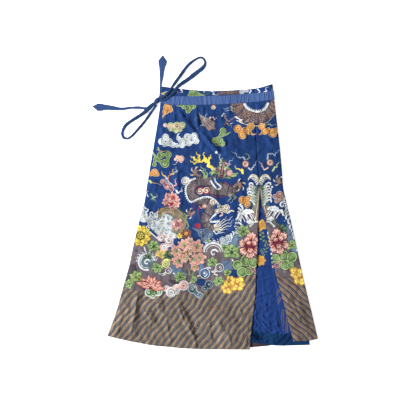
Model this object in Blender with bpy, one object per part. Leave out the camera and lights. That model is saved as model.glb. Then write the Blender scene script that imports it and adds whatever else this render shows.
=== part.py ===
"""Wrap-around apron skirt laid flat on a surface, with its waist tie knotted in a bow at one side.

Metres, +Z up. The origin is the middle of the box round the skirt, on the surface that it lies on.
+Y runs towards the waist and +X towards the slit side. Each panel is a cloth wall between four
edge curves, and what lies on a layer is lifted clear of it by a fixed gap.
"""

import math

import bmesh
import bpy
from mathutils import Vector

MM = 0.001

# Cloth thicknesses
PANEL_CLOTH = 1.2 * MM
LINING_CLOTH = 1.0 * MM
TIE_CLOTH = 1.2 * MM

# Gaps between pieces that meet edge to edge, and between layers that lie on each other
SEAM_GAP = 0.3 * MM
LAY_GAP = 0.4 * MM

# The waist tie, cut as one flat band
TIE_WIDTH = 27 * MM

# Loft of the front over the back, and how far in from a side edge it takes to rise
PUFF = 2.2 * MM
PUFF_RISE = 26 * MM

# A lift runs level for LIFT_LEVEL past the layer that causes it, then falls over LIFT_FALL
LIFT_LEVEL = 22 * MM
LIFT_FALL = 34 * MM

# Height of the seam across the underlap, where its printed top meets its plain lower part
UNDERLAP_SEAM_Y = -0.201

# Side edges of the skirt: height y, left edge x, right edge x
SIDES = (
    (0.368, -0.1345, 0.2090),
    (0.317, -0.1375, 0.2150),
    (0.255, -0.1460, 0.2222),
    (0.179, -0.1585, 0.2310),
    (0.105, -0.1712, 0.2380),
    (0.045, -0.1810, 0.2425),
    (0.000, -0.1880, 0.2525),
    (-0.050, -0.2020, 0.2648),
    (-0.119, -0.2190, 0.2800),
    (-0.193, -0.2345, 0.2958),
    (-0.267, -0.2552, 0.3125),
    (-0.342, -0.2765, 0.3310),
    (-0.423, -0.3065, 0.3500),
)

# Top edge at the waist: x, y
WAIST = (
    (-0.1340, 0.3590),
    (-0.0682, 0.3505),
    (0.0186, 0.3447),
    (0.0775, 0.3466),
    (0.1581, 0.3530),
    (0.2080, 0.3664),
)

# Centre-front seam down to the slit's top: y, x
SEAM = (
    (0.354, 0.1535),
    (0.193, 0.1581),
    (0.084, 0.1659),
    (0.022, 0.1703),
)

# The two edges of the slit, which opens towards the hem: y, left edge x, right edge x
SLIT = (
    (0.022, 0.1703, 0.1703),
    (-0.020, 0.1678, 0.1780),
    (-0.072, 0.1652, 0.1907),
    (-0.160, 0.1618, 0.2077),
    (-0.227, 0.1581, 0.2200),
    (-0.286, 0.1562, 0.2372),
    (-0.366, 0.1473, 0.2570),
    (-0.457, 0.1386, 0.2800),
)

# Hems of the two fronts, of the back and of the underlap: x, y
LEFT_HEM = (
    (-0.3038, -0.4150),
    (-0.2170, -0.4343),
    (-0.1395, -0.4465),
    (-0.0124, -0.4553),
    (0.1386, -0.4566),
)
RIGHT_HEM = ((0.2735, -0.4312), (0.3120, -0.4300), (0.3500, -0.4230))
BACK_HEM = (
    (-0.3030, -0.4128),
    (-0.2170, -0.4320),
    (-0.1395, -0.4440),
    (-0.0124, -0.4525),
    (0.1386, -0.4500),
    (0.1900, -0.4462),
    (0.2735, -0.4290),
    (0.3490, -0.4208),
)
UNDERLAP_HEM = (
    (0.0950, -0.4290),
    (0.1488, -0.4345),
    (0.1891, -0.4408),
    (0.2344, -0.4449),
    (0.2778, -0.4440),
    (0.3250, -0.4425),
)

# Side edges of the underlap: y, left x (hidden under the left front), right x
UNDERLAP_SIDES = (
    (0.300, 0.0950, 0.2130),
    (0.137, 0.0950, 0.2290),
    (-0.055, 0.0950, 0.2570),
    (-0.201, 0.0950, 0.2880),
    (-0.330, 0.0950, 0.3150),
    (-0.445, 0.0950, 0.3250),
)

# Facing folded back under the right slit edge: y, how far it shows past that edge
FACING_SHOWS = (
    (0.000, 0.0010),
    (-0.130, 0.0030),
    (-0.215, 0.0080),
    (-0.250, 0.0100),
    (-0.300, 0.0170),
    (-0.345, 0.0210),
    (-0.410, 0.0260),
)
FACING_TUCK = 14 * MM

# Middle of the waist tie where it goes round the skirt: x, y
TIE_LINE = (
    (-0.1340, 0.3137),
    (-0.0465, 0.3150),
    (0.0372, 0.3159),
    (0.1147, 0.3212),
    (0.1612, 0.3246),
    (0.2170, 0.3325),
)
TIE_TAPER_ENDS_X = -0.0900
TIE_NECK_X = -0.1380
TIE_NECK_WIDTH = 9 * MM

# Largest folds of the fronts: start x y, end x y, height and half-width in metres
FOLDS = (
    # name, x0, y0, x1, y1, height, half_width
    ("gather_1", -0.104, 0.292, -0.098, 0.246, 0.0026, 0.0085),
    ("gather_2", -0.080, 0.286, -0.020, 0.196, 0.0034, 0.0090),
    ("gather_3", -0.028, 0.290, -0.022, 0.222, 0.0030, 0.0090),
    ("drag_1", -0.016, 0.226, 0.052, 0.146, 0.0040, 0.0100),
    ("gather_4", 0.050, 0.288, 0.064, 0.150, 0.0024, 0.0100),
    ("gather_5", 0.108, 0.288, 0.128, 0.176, 0.0028, 0.0100),
    ("gather_6", 0.180, 0.250, 0.206, 0.176, 0.0026, 0.0090),
    ("thigh_left", -0.088, 0.130, -0.070, -0.060, 0.0026, 0.0150),
    ("thigh_right", 0.072, 0.060, 0.100, -0.130, 0.0024, 0.0150),
    ("hem_1", -0.262, -0.280, -0.278, -0.400, 0.0034, 0.0110),
    ("hem_2", -0.206, -0.276, -0.226, -0.415, 0.0036, 0.0120),
    ("hem_3", -0.184, -0.326, -0.150, -0.384, 0.0034, 0.0100),
    ("hem_4", -0.144, -0.290, -0.128, -0.352, 0.0026, 0.0090),
    ("hem_5", -0.080, -0.316, -0.030, -0.420, 0.0050, 0.0110),
    ("hem_6", 0.040, -0.360, 0.060, -0.440, 0.0024, 0.0120),
    ("slit_fold", 0.286, -0.300, 0.320, -0.410, 0.0026, 0.0110),
)

# Paths of the bow, seen from above: x, y, height of the underside, width
UPPER_LOOP = (
    (-0.1358, 0.3212, 0.0069, 0.0052),
    (-0.1175, 0.3360, 0.0060, 0.0062),
    (-0.1020, 0.3560, 0.0052, 0.0072),
    (-0.0900, 0.3740, 0.0012, 0.0082),
    (-0.0740, 0.3960, 0.0, 0.0086),
    (-0.0545, 0.4225, 0.0, 0.0080),
    (-0.0340, 0.4400, 0.0, 0.0066),
    (-0.0145, 0.4490, 0.0, 0.0054),
    (-0.0025, 0.4420, 0.0, 0.0056),
    (0.0005, 0.4290, 0.0, 0.0076),
    (-0.0080, 0.4160, 0.0, 0.0104),
    (-0.0260, 0.4020, 0.0, 0.0118),
    (-0.0520, 0.3815, 0.0, 0.0108),
    (-0.0720, 0.3680, 0.0012, 0.0096),
    (-0.0870, 0.3540, 0.0052, 0.0084),
    (-0.1060, 0.3310, 0.0060, 0.0070),
    (-0.1240, 0.3155, 0.0070, 0.0052),
)
LOWER_LOOP = (
    (-0.1568, 0.3064, 0.0023, 0.0080),
    (-0.1690, 0.2965, 0.0023, 0.0120),
    (-0.1860, 0.2800, 0.0019, 0.0104),
    (-0.2080, 0.2650, 0.0, 0.0088),
    (-0.2290, 0.2520, 0.0, 0.0086),
    (-0.2470, 0.2370, 0.0, 0.0084),
    (-0.2560, 0.2170, 0.0, 0.0078),
    (-0.2530, 0.2015, 0.0, 0.0066),
    (-0.2400, 0.1975, 0.0, 0.0058),
    (-0.2265, 0.2060, 0.0, 0.0060),
    (-0.2130, 0.2205, 0.0, 0.0066),
    (-0.1890, 0.2480, 0.0, 0.0070),
    (-0.1730, 0.2700, 0.0006, 0.0072),
    (-0.1590, 0.2890, 0.0024, 0.0062),
    (-0.1494, 0.3028, 0.0026, 0.0052),
)
UPPER_TAIL = (
    (-0.1405, 0.3244, 0.0, 0.0042),
    (-0.1392, 0.3380, 0.0, 0.0044),
    (-0.1378, 0.3580, 0.0, 0.0044),
    (-0.1350, 0.3880, 0.0, 0.0108),
    (-0.1330, 0.4190, 0.0, 0.0190),
    (-0.1312, 0.4385, 0.0, 0.0280),
)
UPPER_TAIL_TIP = (-0.1310, 0.4566)
SIDE_TAIL = (
    (-0.1530, 0.3030, 0.0, 0.0050),
    (-0.1800, 0.2915, 0.0, 0.0080),
    (-0.2080, 0.2935, 0.0, 0.0086),
    (-0.2320, 0.2925, 0.0, 0.0076),
    (-0.2620, 0.2895, 0.0, 0.0092),
    (-0.3030, 0.2940, 0.0, 0.0165),
    (-0.3325, 0.2945, 0.0, 0.0240),
)
SIDE_TAIL_TIP = (-0.3500, 0.2970)
LOOP_THICKNESS = 2.6 * MM
TAIL_THICKNESS = 1.8 * MM

KNOT_CENTRE = (-0.1484, 0.3148)
KNOT_HALF_LENGTH = 11.5 * MM
KNOT_HALF_WIDTH = 8.0 * MM
KNOT_HEIGHT = 11 * MM
KNOT_TURN = math.radians(45)


def smooth_step(low, high, value):
    """0 below low, 1 above high, and an even curve between them."""
    share = min(1.0, max(0.0, (value - low) / (high - low)))
    return share * share * (3 - 2 * share)


def curve_through(rows, key=0, column=1):
    """A smooth function that passes through a table's column, read against its key column."""
    points = sorted((row[key], row[column]) for row in rows)
    xs = [p[0] for p in points]
    ys = [p[1] for p in points]
    chords = [(b - a) / (d - c) for a, b, c, d in zip(ys, ys[1:], xs, xs[1:])]
    inner = [2 * m * n / (m + n) if m * n > 0 else 0.0 for m, n in zip(chords, chords[1:])]
    slopes = [chords[0], *inner, chords[-1]]

    def value(x):
        last = len(xs) - 2
        i = min(last, max(0, sum(1 for edge in xs[1:-1] if x > edge)))
        width = xs[i + 1] - xs[i]
        t = (x - xs[i]) / width
        if t < 0:
            return ys[i] + slopes[i] * (x - xs[i])
        if t > 1:
            return ys[i + 1] + slopes[i + 1] * (x - xs[i + 1])
        rise = (2 * t**3 - 3 * t**2 + 1) * ys[i] + (3 * t**2 - 2 * t**3) * ys[i + 1]
        bend = (t**3 - 2 * t**2 + t) * slopes[i] + (t**3 - t**2) * slopes[i + 1]
        return rise + bend * width

    return value


side_left = curve_through(SIDES, column=1)
side_right = curve_through(SIDES, column=2)
waist = curve_through(WAIST)
seam = curve_through(SEAM)
slit_left = curve_through(SLIT, column=1)
slit_right = curve_through(SLIT, column=2)
tie_middle = curve_through(TIE_LINE)
facing_shows = curve_through(FACING_SHOWS)


def left_front_edge(y):
    """The left front's centre edge: the seam, then the slit."""
    return (seam(y) if y > SLIT[0][0] else slit_left(y)) - SEAM_GAP / 2


def right_front_edge(y):
    """The right front's centre edge: the seam, then the slit."""
    return (seam(y) if y > SLIT[0][0] else slit_right(y)) + SEAM_GAP / 2


# Heights of the layers

def near_tie(x, y):
    """1 where the tie lies over or under the cloth and a little past it, falling to 0."""
    away = abs(y - tie_middle(x)) - TIE_WIDTH / 2
    return 1 - smooth_step(LIFT_LEVEL, LIFT_LEVEL + LIFT_FALL, away)


def back_underside(x, y):
    """The back lies on the surface, but for where it passes over the tie's back run."""
    return (TIE_CLOTH + LAY_GAP) * near_tie(x, y)


def back_top(x, y):
    return back_underside(x, y) + PANEL_CLOTH


def underlap_underside(x, y):
    return back_top(x, y) + LAY_GAP


def underlap_lift(x, y):
    """How much the underlap raises what lies over it."""
    left = smooth_step(-LIFT_LEVEL - LIFT_FALL, -LIFT_LEVEL, x - UNDERLAP_SIDES[0][1])
    top = 1 - smooth_step(LIFT_LEVEL, LIFT_LEVEL + LIFT_FALL, y - UNDERLAP_SIDES[0][0])
    return (LINING_CLOTH + LAY_GAP) * left * top


def facing_underside(x, y):
    return underlap_underside(x, y) + LINING_CLOTH + LAY_GAP


def facing_lift(x, y):
    """How much the folded facing raises the right front along its slit edge."""
    inward = x - slit_right(y) - FACING_TUCK
    across = 1 - smooth_step(LIFT_LEVEL / 2, LIFT_LEVEL / 2 + LIFT_FALL, inward)
    top = 1 - smooth_step(LIFT_LEVEL, LIFT_LEVEL + LIFT_FALL, y - FACING_SHOWS[0][0])
    return (LINING_CLOTH + LAY_GAP) * across * top


def fold_height(x, y):
    """Sum of the largest folds: each is a ridge with a shallow trough on both sides."""
    total = 0.0
    for _, x0, y0, x1, y1, height, half_width in FOLDS:
        along_x, along_y = x1 - x0, y1 - y0
        length = math.hypot(along_x, along_y)
        share = ((x - x0) * along_x + (y - y0) * along_y) / length**2
        off = abs((x - x0) * along_y - (y - y0) * along_x) / length / half_width
        ends = smooth_step(-0.15, 0.25, share) * (1 - smooth_step(0.75, 1.15, share))
        if off < 4:
            total += height * ends * (1 - off * off) * math.exp(-off * off / 1.6)
    return total


def front_loft(x, y):
    """Loft and folds of a front over what lies under it, none at the side edges or under the tie."""
    inward = min(x - side_left(y), side_right(y) - x)
    rise = smooth_step(0, PUFF_RISE, inward) * (1 - near_tie(x, y))
    return rise * max(0.0, PUFF + fold_height(x, y))


def left_front_underside(x, y):
    return underlap_underside(x, y) + underlap_lift(x, y) + front_loft(x, y)


def right_front_underside(x, y):
    return left_front_underside(x, y) + facing_lift(x, y)


# Solids

def cloth_material(name, colour, roughness):
    material = bpy.data.materials.new(name)
    material.use_nodes = True
    shader = material.node_tree.nodes["Principled BSDF"]
    shader.inputs["Base Color"].default_value = (*colour, 1.0)
    shader.inputs["Roughness"].default_value = roughness
    shader.inputs["Metallic"].default_value = 0.0
    return material


def add_object(name, mesh_edit, material):
    mesh = bpy.data.meshes.new(name)
    bmesh.ops.recalc_face_normals(mesh_edit, faces=mesh_edit.faces)
    mesh_edit.to_mesh(mesh)
    mesh_edit.free()
    mesh.materials.append(material)
    made = bpy.data.objects.new(name, mesh)
    bpy.context.scene.collection.objects.link(made)
    return made


def solid_between(name, lower, upper, material, closed=False):
    """A closed solid between two grids of points with the same rows and columns.

    With closed set, each row is a ring, and the first and last rows are capped."""
    edit = bmesh.new()
    low = [[edit.verts.new(p) for p in row] for row in lower]
    high = [[edit.verts.new(p) for p in row] for row in upper] if upper else low
    rows, columns = len(low), len(low[0])
    if closed:
        for i in range(rows - 1):
            for j in range(columns):
                k = (j + 1) % columns
                edit.faces.new((low[i][j], low[i][k], low[i + 1][k], low[i + 1][j]))
        edit.faces.new(low[0])
        edit.faces.new(low[-1])
        return add_object(name, edit, material)
    for i in range(rows - 1):
        for j in range(columns - 1):
            for grid in (low, high):
                a, b, c, d = grid[i][j], grid[i][j + 1], grid[i + 1][j + 1], grid[i + 1][j]
                edit.faces.new((a, b, c))
                edit.faces.new((a, c, d))
    rim = [(0, j) for j in range(columns)] + [(i, columns - 1) for i in range(1, rows)]
    rim += [(rows - 1, j) for j in range(columns - 2, -1, -1)]
    rim += [(i, 0) for i in range(rows - 2, 0, -1)]
    for (i, j), (k, m) in zip(rim, rim[1:] + rim[:1]):
        edit.faces.new((low[i][j], low[k][m], high[k][m], high[i][j]))
    return add_object(name, edit, material)


def spread(start, end, steps):
    """Evenly spaced values from start to end."""
    return [start + (end - start) * i / steps for i in range(steps + 1)]


def plan_grid(left, right, top, bottom, left_ys, right_ys, columns):
    """Points seen from above that fill the space between four edge curves (a Coons patch).

    left and right give x for a y, at the heights listed for that edge from the top down.
    top and bottom give y for an x."""
    left_edge = [Vector((left(y), y)) for y in left_ys]
    right_edge = [Vector((right(y), y)) for y in right_ys]
    grid = []
    for i, (start, end) in enumerate(zip(left_edge, right_edge)):
        t = i / (len(left_edge) - 1)
        row = []
        for j in range(columns + 1):
            s = j / columns
            upper = left_edge[0].lerp(right_edge[0], s)
            lower = left_edge[-1].lerp(right_edge[-1], s)
            bow = (1 - t) * (top(upper.x) - upper.y) + t * (bottom(lower.x) - lower.y)
            row.append(start.lerp(end, s) + Vector((0.0, bow)))
        grid.append(row)
    return grid


def cloth_wall(name, grid, underside, thickness, material):
    """The cloth over a plan grid: its underside follows a height, and its top is a wall's thickness above."""
    lower = [[(p.x, p.y, underside(p.x, p.y)) for p in row] for row in grid]
    upper = [[(x, y, z + thickness) for x, y, z in row] for row in lower]
    return solid_between(name, lower, upper, material)


def corner_height(edge, line, guess):
    """The y at which a side edge meets a top or bottom line."""
    y = guess
    for _ in range(20):
        y = line(edge(y))
    return y


def seam_rows(edge, hem):
    """Heights along a centre-front edge, with a row at the slit's top."""
    apex = SLIT[0][0]
    top = corner_height(edge, waist, 0.35)
    return spread(top, apex, 18) + spread(apex, corner_height(edge, hem, -0.44), 22)[1:]


def make_back(material):
    hem = curve_through(BACK_HEM)
    left_ys = spread(corner_height(side_left, waist, 0.36), corner_height(side_left, hem, -0.41), 32)
    right_ys = spread(
        corner_height(side_right, waist, 0.36), corner_height(side_right, hem, -0.42), 32
    )
    grid = plan_grid(side_left, side_right, waist, hem, left_ys, right_ys, 14)
    return cloth_wall("back_panel", grid, back_underside, PANEL_CLOTH, material)


def make_left_front(material):
    hem = curve_through(LEFT_HEM)
    left_ys = spread(corner_height(side_left, waist, 0.36), corner_height(side_left, hem, -0.41), 40)
    right_ys = seam_rows(left_front_edge, hem)
    grid = plan_grid(side_left, left_front_edge, waist, hem, left_ys, right_ys, 34)
    return cloth_wall("left_front", grid, left_front_underside, PANEL_CLOTH, material)


def make_right_front(material):
    hem = curve_through(RIGHT_HEM)
    right_ys = spread(
        corner_height(side_right, waist, 0.36), corner_height(side_right, hem, -0.42), 40
    )
    left_ys = seam_rows(right_front_edge, hem)
    grid = plan_grid(right_front_edge, side_right, waist, hem, left_ys, right_ys, 9)
    return cloth_wall("right_front", grid, right_front_underside, PANEL_CLOTH, material)


def make_underlap(print_material, plain_material):
    """The inner front, which shows in the slit: a printed top and a plain lower part."""
    left, right = curve_through(UNDERLAP_SIDES, column=1), curve_through(UNDERLAP_SIDES, column=2)
    hem = curve_through(UNDERLAP_HEM)
    top = UNDERLAP_SIDES[0][0]
    seam_above, seam_below = UNDERLAP_SEAM_Y + SEAM_GAP / 2, UNDERLAP_SEAM_Y - SEAM_GAP / 2
    printed_ys = spread(top, seam_above, 22)
    printed = plan_grid(
        left, right, lambda x: top, lambda x: seam_above, printed_ys, printed_ys, 5
    )
    left_ys = spread(seam_below, corner_height(left, hem, -0.43), 8)
    right_ys = spread(seam_below, corner_height(right, hem, -0.44), 8)
    plain = plan_grid(left, right, lambda x: seam_below, hem, left_ys, right_ys, 9)
    cloth_wall("underlap_printed", printed, underlap_underside, LINING_CLOTH, print_material)
    cloth_wall("underlap_plain", plain, underlap_underside, LINING_CLOTH, plain_material)


def make_facing(material):
    """The strip of the right front folded back under its slit edge."""
    ys = spread(FACING_SHOWS[0][0], FACING_SHOWS[-1][0], 20)

    def outer(y):
        return slit_right(y) - facing_shows(y)

    def inner(y):
        return slit_right(y) + FACING_TUCK

    grid = plan_grid(outer, inner, lambda x: ys[0], lambda x: ys[-1], ys, ys, 3)
    return cloth_wall("slit_facing", grid, facing_underside, LINING_CLOTH, material)


def tie_width(x):
    """The tie is gathered into a narrow neck where it enters the knot."""
    spread = smooth_step(TIE_NECK_X, TIE_TAPER_ENDS_X, x)
    return TIE_NECK_WIDTH + (TIE_WIDTH - TIE_NECK_WIDTH) * spread


def make_tie_front(material):
    """The tie's run over the fronts, from its gathered neck at the knot round the right edge."""
    samples, across = 38, 4
    level = right_front_underside(0.19, tie_middle(0.19)) + PANEL_CLOTH + LAY_GAP
    bottom = TIE_CLOTH + SEAM_GAP
    lower, upper = [], []
    for i in range(samples + 3):
        share = min(1.0, i / samples)
        mean_x = TIE_NECK_X + (side_right(0.332) + LAY_GAP - TIE_NECK_X) * share
        width = tie_width(mean_x)
        thick = TIE_CLOTH * (1.5 - 0.5 * width / TIE_WIDTH)
        lower.append([])
        upper.append([])
        for j in range(across + 1):
            y = tie_middle(mean_x) + width * (j / across - 0.5)
            x = TIE_NECK_X + (side_right(y) + LAY_GAP - TIE_NECK_X) * share
            z = max(left_front_underside(x, y) + PANEL_CLOTH + LAY_GAP, level * (x > 0))
            if i > samples:
                z = level + (bottom - level) * (i - samples) / 2
            out_x = thick if i >= samples else 0.0
            out_z = thick if i <= samples else 0.0
            lower[-1].append((x, y, z))
            upper[-1].append((x + out_x, y, z + out_z))
    return solid_between("tie_front", lower, upper, material)


def make_tie_back(material):
    """The tie's run under the back, flat on the surface."""
    columns = 18
    lower = []
    for i in range(columns + 1):
        share = i / columns
        y = tie_middle(-0.13 + 0.343 * share)
        row = []
        for edge_y in (y - TIE_WIDTH / 2, y + TIE_WIDTH / 2):
            start = side_left(edge_y) + 2 * SEAM_GAP
            end = side_right(edge_y) + LAY_GAP + TIE_CLOTH
            row.append((start + (end - start) * share, edge_y, 0.0))
        lower.append(row)
    upper = [[(x, y, TIE_CLOTH) for x, y, _ in row] for row in lower]
    return solid_between("tie_back", lower, upper, material)


def smooth_path(rows, steps):
    """Points on a Catmull-Rom curve through the rows, steps to each span."""
    rows = [tuple(row) for row in rows]
    ends = [rows[0], *rows, rows[-1]]
    path = []
    for a, b, c, d in zip(ends, ends[1:], ends[2:], ends[3:]):
        for k in range(steps):
            t = k / steps
            path.append(
                tuple(
                    0.5 * (2 * q + (r - p) * t + (2 * p - 5 * q + 4 * r - s) * t**2)
                    + 0.5 * (3 * q - p - 3 * r + s) * t**3
                    for p, q, r, s in zip(a, b, c, d)
                )
            )
    path.append(rows[-1])
    return path


def band_rings(path, thickness):
    """Rings round a folded band: flat underneath, with rounded edges and top."""
    section = ((-0.5, 0.12), (-0.42, 0.0), (0.42, 0.0), (0.5, 0.12), (0.5, 0.62), (0.3, 1.0))
    section += ((-0.3, 1.0), (-0.5, 0.62))
    rings = []
    for i, (x, y, z, width) in enumerate(path):
        before, after = path[max(0, i - 1)], path[min(len(path) - 1, i + 1)]
        along = Vector((after[0] - before[0], after[1] - before[1])).normalized()
        side = Vector((along.y, -along.x))
        rings.append(
            [(x + side.x * width * u, y + side.y * width * u, z + thickness * v) for u, v in section]
        )
    return rings


def make_loop(name, rows, material):
    return solid_between(
        name, band_rings(smooth_path(rows, 2), LOOP_THICKNESS), None, material, closed=True
    )


def make_tail(name, rows, tip, material):
    """A tie end: gathered at the knot, opening to the full band and cut to a point."""
    path = smooth_path(rows, 3)
    rings = band_rings(path, TAIL_THICKNESS)
    nearly = 0.985
    end = [
        (tip[0] + (x - path[-1][0]) * (1 - nearly), tip[1] + (y - path[-1][1]) * (1 - nearly), z)
        for x, y, z in rings[-1]
    ]
    return solid_between(name, [*rings, end], None, material, closed=True)


def make_knot(material):
    """The knot: a plump turn of the tie beside the skirt's edge, flat underneath."""
    around, up = 18, 6
    rings = []
    for i in range(up + 1):
        share = i / up
        lean = math.sin(math.pi * (0.16 + 0.72 * share))
        height = KNOT_HEIGHT * (1 - math.cos(math.pi * share)) / 2
        ring = []
        for j in range(around):
            turn = 2 * math.pi * j / around
            u = KNOT_HALF_LENGTH * lean * math.cos(turn)
            v = KNOT_HALF_WIDTH * lean * math.sin(turn)
            x = KNOT_CENTRE[0] + u * math.cos(KNOT_TURN) - v * math.sin(KNOT_TURN)
            y = KNOT_CENTRE[1] + u * math.sin(KNOT_TURN) + v * math.cos(KNOT_TURN)
            ring.append((x, y, height))
        rings.append(ring)
    return solid_between("knot", rings, None, material, closed=True)


def main():
    for old in list(bpy.data.objects):
        bpy.data.objects.remove(old)
    printed = cloth_material("printed_silk", (0.055, 0.085, 0.26), 0.55)
    lining = cloth_material("plain_lining", (0.045, 0.085, 0.30), 0.5)
    band = cloth_material("tie_cloth", (0.12, 0.17, 0.42), 0.6)
    make_back(printed)
    make_underlap(printed, lining)
    make_facing(lining)
    make_left_front(printed)
    make_right_front(printed)
    make_tie_back(band)
    make_tie_front(band)
    make_knot(band)
    make_loop("upper_loop", UPPER_LOOP, band)
    make_loop("lower_loop", LOWER_LOOP, band)
    make_tail("upper_tail", UPPER_TAIL, UPPER_TAIL_TIP, band)
    make_tail("side_tail", SIDE_TAIL, SIDE_TAIL_TIP, band)


main()
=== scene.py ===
"""Looks for the apron skirt that lies flat: printed silk, gathered tie and bow, floor, light and camera.

The print is drawn in millimetres on the plan of the laid skirt, seen from above, with +X right and
+Y towards the waist. Every printed shape is cut into the cloth's own mesh, so its edges stay crisp.
"""

import math
import random

import bpy
import numpy as np
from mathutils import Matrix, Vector, geometry


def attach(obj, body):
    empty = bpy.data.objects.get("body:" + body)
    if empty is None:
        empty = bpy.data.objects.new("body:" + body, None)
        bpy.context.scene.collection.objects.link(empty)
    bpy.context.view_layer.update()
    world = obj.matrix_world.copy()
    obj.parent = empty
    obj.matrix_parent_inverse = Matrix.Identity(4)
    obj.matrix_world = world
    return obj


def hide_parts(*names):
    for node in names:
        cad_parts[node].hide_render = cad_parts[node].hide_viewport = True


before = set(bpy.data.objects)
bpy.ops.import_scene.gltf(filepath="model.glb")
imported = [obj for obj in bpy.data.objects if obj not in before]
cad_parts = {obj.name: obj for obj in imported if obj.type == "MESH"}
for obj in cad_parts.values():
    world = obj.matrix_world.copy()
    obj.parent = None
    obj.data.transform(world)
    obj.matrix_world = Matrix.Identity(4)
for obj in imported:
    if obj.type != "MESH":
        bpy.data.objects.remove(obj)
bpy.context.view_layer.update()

MM = 0.001

# Thickness of each cloth in the solids, and the gaps between layers and at seams, in millimetres
TIE_CLOTH = 1.2
PANEL_CLOTH = 1.2
LINING_CLOTH = 1.0
LAY_GAP = 0.4
SEAM_GAP = 0.3
TIE_WIDTH = 27.0
# How far the fronts puff up, and how far in from their edges they do so in full
PUFF = 2.2
PUFF_RISE = 26.0
# Cloth over a lower layer's edge stays lifted for the first distance past it and falls over the second
LIFT_LEVEL = 22.0
LIFT_FALL = 34.0
# Where the hidden edges of the underlap, its cross seam and the facing lie
UNDERLAP_LEFT = 95.0
UNDERLAP_TOP = 300.0
UNDERLAP_SEAM_Y = -201.0
FACING_TUCK = 14.0
FACING_TOP = 0.0

# Thickness of the finished cloth and of the tie's band
CLOTH_SHOWN = 0.8
TIE_SHOWN = 0.9

# Side edges of the skirt: y, left x, right x
SIDES = (
    (368, -134.5, 209.0), (317, -137.5, 215.0), (255, -146.0, 222.2), (179, -158.5, 231.0),
    (105, -171.2, 238.0), (45, -181.0, 242.5), (0, -188.0, 252.5), (-50, -202.0, 264.8),
    (-119, -219.0, 280.0), (-193, -234.5, 295.8), (-267, -255.2, 312.5), (-342, -276.5, 331.0),
    (-423, -306.5, 350.0),
)
# Waist edge and hems: x, y
WAIST = (
    (-134.0, 359.0), (-68.2, 350.5), (18.6, 344.7), (77.5, 346.6), (158.1, 353.0), (208.0, 366.4),
)
LEFT_HEM = (
    (-303.8, -415.0), (-217.0, -434.3), (-139.5, -446.5), (-12.4, -455.3), (138.6, -456.6),
)
RIGHT_HEM = ((273.5, -431.2), (312.0, -430.0), (350.0, -423.0))
BACK_HEM = (
    (-303.0, -412.8), (-217.0, -432.0), (-139.5, -444.0), (-12.4, -452.5), (138.6, -450.0), (190.0, -446.2),
    (273.5, -429.0), (349.0, -420.8),
)
UNDERLAP_HEM = (
    (95.0, -429.0), (148.8, -434.5), (189.1, -440.8), (234.4, -444.9), (277.8, -444.0), (325.0, -442.5),
)
UNDERLAP_SIDE = (
    (300, 213.0), (137, 229.0), (-55, 257.0), (-201, 288.0), (-330, 315.0), (-445, 325.0),
)
# Centre-front seam: y, x. Slit: y, left edge x, right edge x
SEAM = ((354, 153.5), (193, 158.1), (84, 165.9), (22, 170.3))
SLIT = (
    (22, 170.3, 170.3), (-20, 167.8, 178.0), (-72, 165.2, 190.7), (-160, 161.8, 207.7),
    (-227, 158.1, 220.0), (-286, 156.2, 237.2), (-366, 147.3, 257.0), (-457, 138.6, 280.0),
)
SLIT_TOP = SLIT[0][0]
# How far the facing shows past the right slit edge: y, width
FACING_SHOWS = (
    (0, 1.0), (-130, 3.0), (-215, 8.0), (-250, 10.0), (-300, 17.0), (-345, 21.0), (-410, 26.0),
)
# Middle line of the tie: x, y
TIE_LINE = (
    (-134.0, 313.7), (-46.5, 315.0), (37.2, 315.9), (114.7, 321.2), (161.2, 324.6), (217.0, 332.5),
)

# Folds of the fronts: start x y, end x y, height, half-width
FOLDS = (
    (-104, 292, -98, 246, 2.6, 8.5), (-80, 286, -20, 196, 3.4, 9.0), (-28, 290, -22, 222, 3.0, 9.0),
    (-16, 226, 52, 146, 4.0, 10.0), (50, 288, 64, 150, 2.4, 10.0), (108, 288, 128, 176, 2.8, 10.0),
    (180, 250, 206, 176, 2.6, 9.0), (-88, 130, -70, -60, 2.6, 15.0), (72, 60, 100, -130, 2.4, 15.0),
    (-262, -280, -278, -400, 3.4, 11.0), (-206, -276, -226, -415, 3.6, 12.0),
    (-184, -326, -150, -384, 3.4, 10.0), (-144, -290, -128, -352, 2.6, 9.0),
    (-80, -316, -30, -420, 5.0, 11.0), (40, -360, 60, -440, 2.4, 12.0), (286, -300, 320, -410, 2.6, 11.0),
)


# Curves and heights. All lengths from here down to the meshes are in millimetres.

def smooth_step(low, high, value):
    share = np.clip((np.asarray(value, float) - low) / (high - low), 0.0, 1.0)
    return share * share * (3 - 2 * share)


def curve_through(rows, column=1):
    """A smooth function through a table's column, read against its first column."""
    table = np.array(sorted((row[0], row[column]) for row in rows), float)
    xs, ys = table.T
    chords = np.diff(ys) / np.diff(xs)
    inner = [2 * m * n / (m + n) if m * n > 0 else 0.0 for m, n in zip(chords, chords[1:])]
    slopes = np.array([chords[0], *inner, chords[-1]])

    def value(x):
        x = np.asarray(x, float)
        i = np.clip(np.searchsorted(xs, x) - 1, 0, len(xs) - 2)
        width = xs[i + 1] - xs[i]
        raw = (x - xs[i]) / width
        t = np.clip(raw, 0.0, 1.0)
        rise = (2 * t**3 - 3 * t**2 + 1) * ys[i] + (3 * t**2 - 2 * t**3) * ys[i + 1]
        bend = (t**3 - 2 * t**2 + t) * slopes[i] + (t**3 - t**2) * slopes[i + 1]
        past = np.where(raw < 0, raw * slopes[i], 0) + np.where(raw > 1, (raw - 1) * slopes[i + 1], 0)
        return rise + (bend + past) * width

    return value


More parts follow.
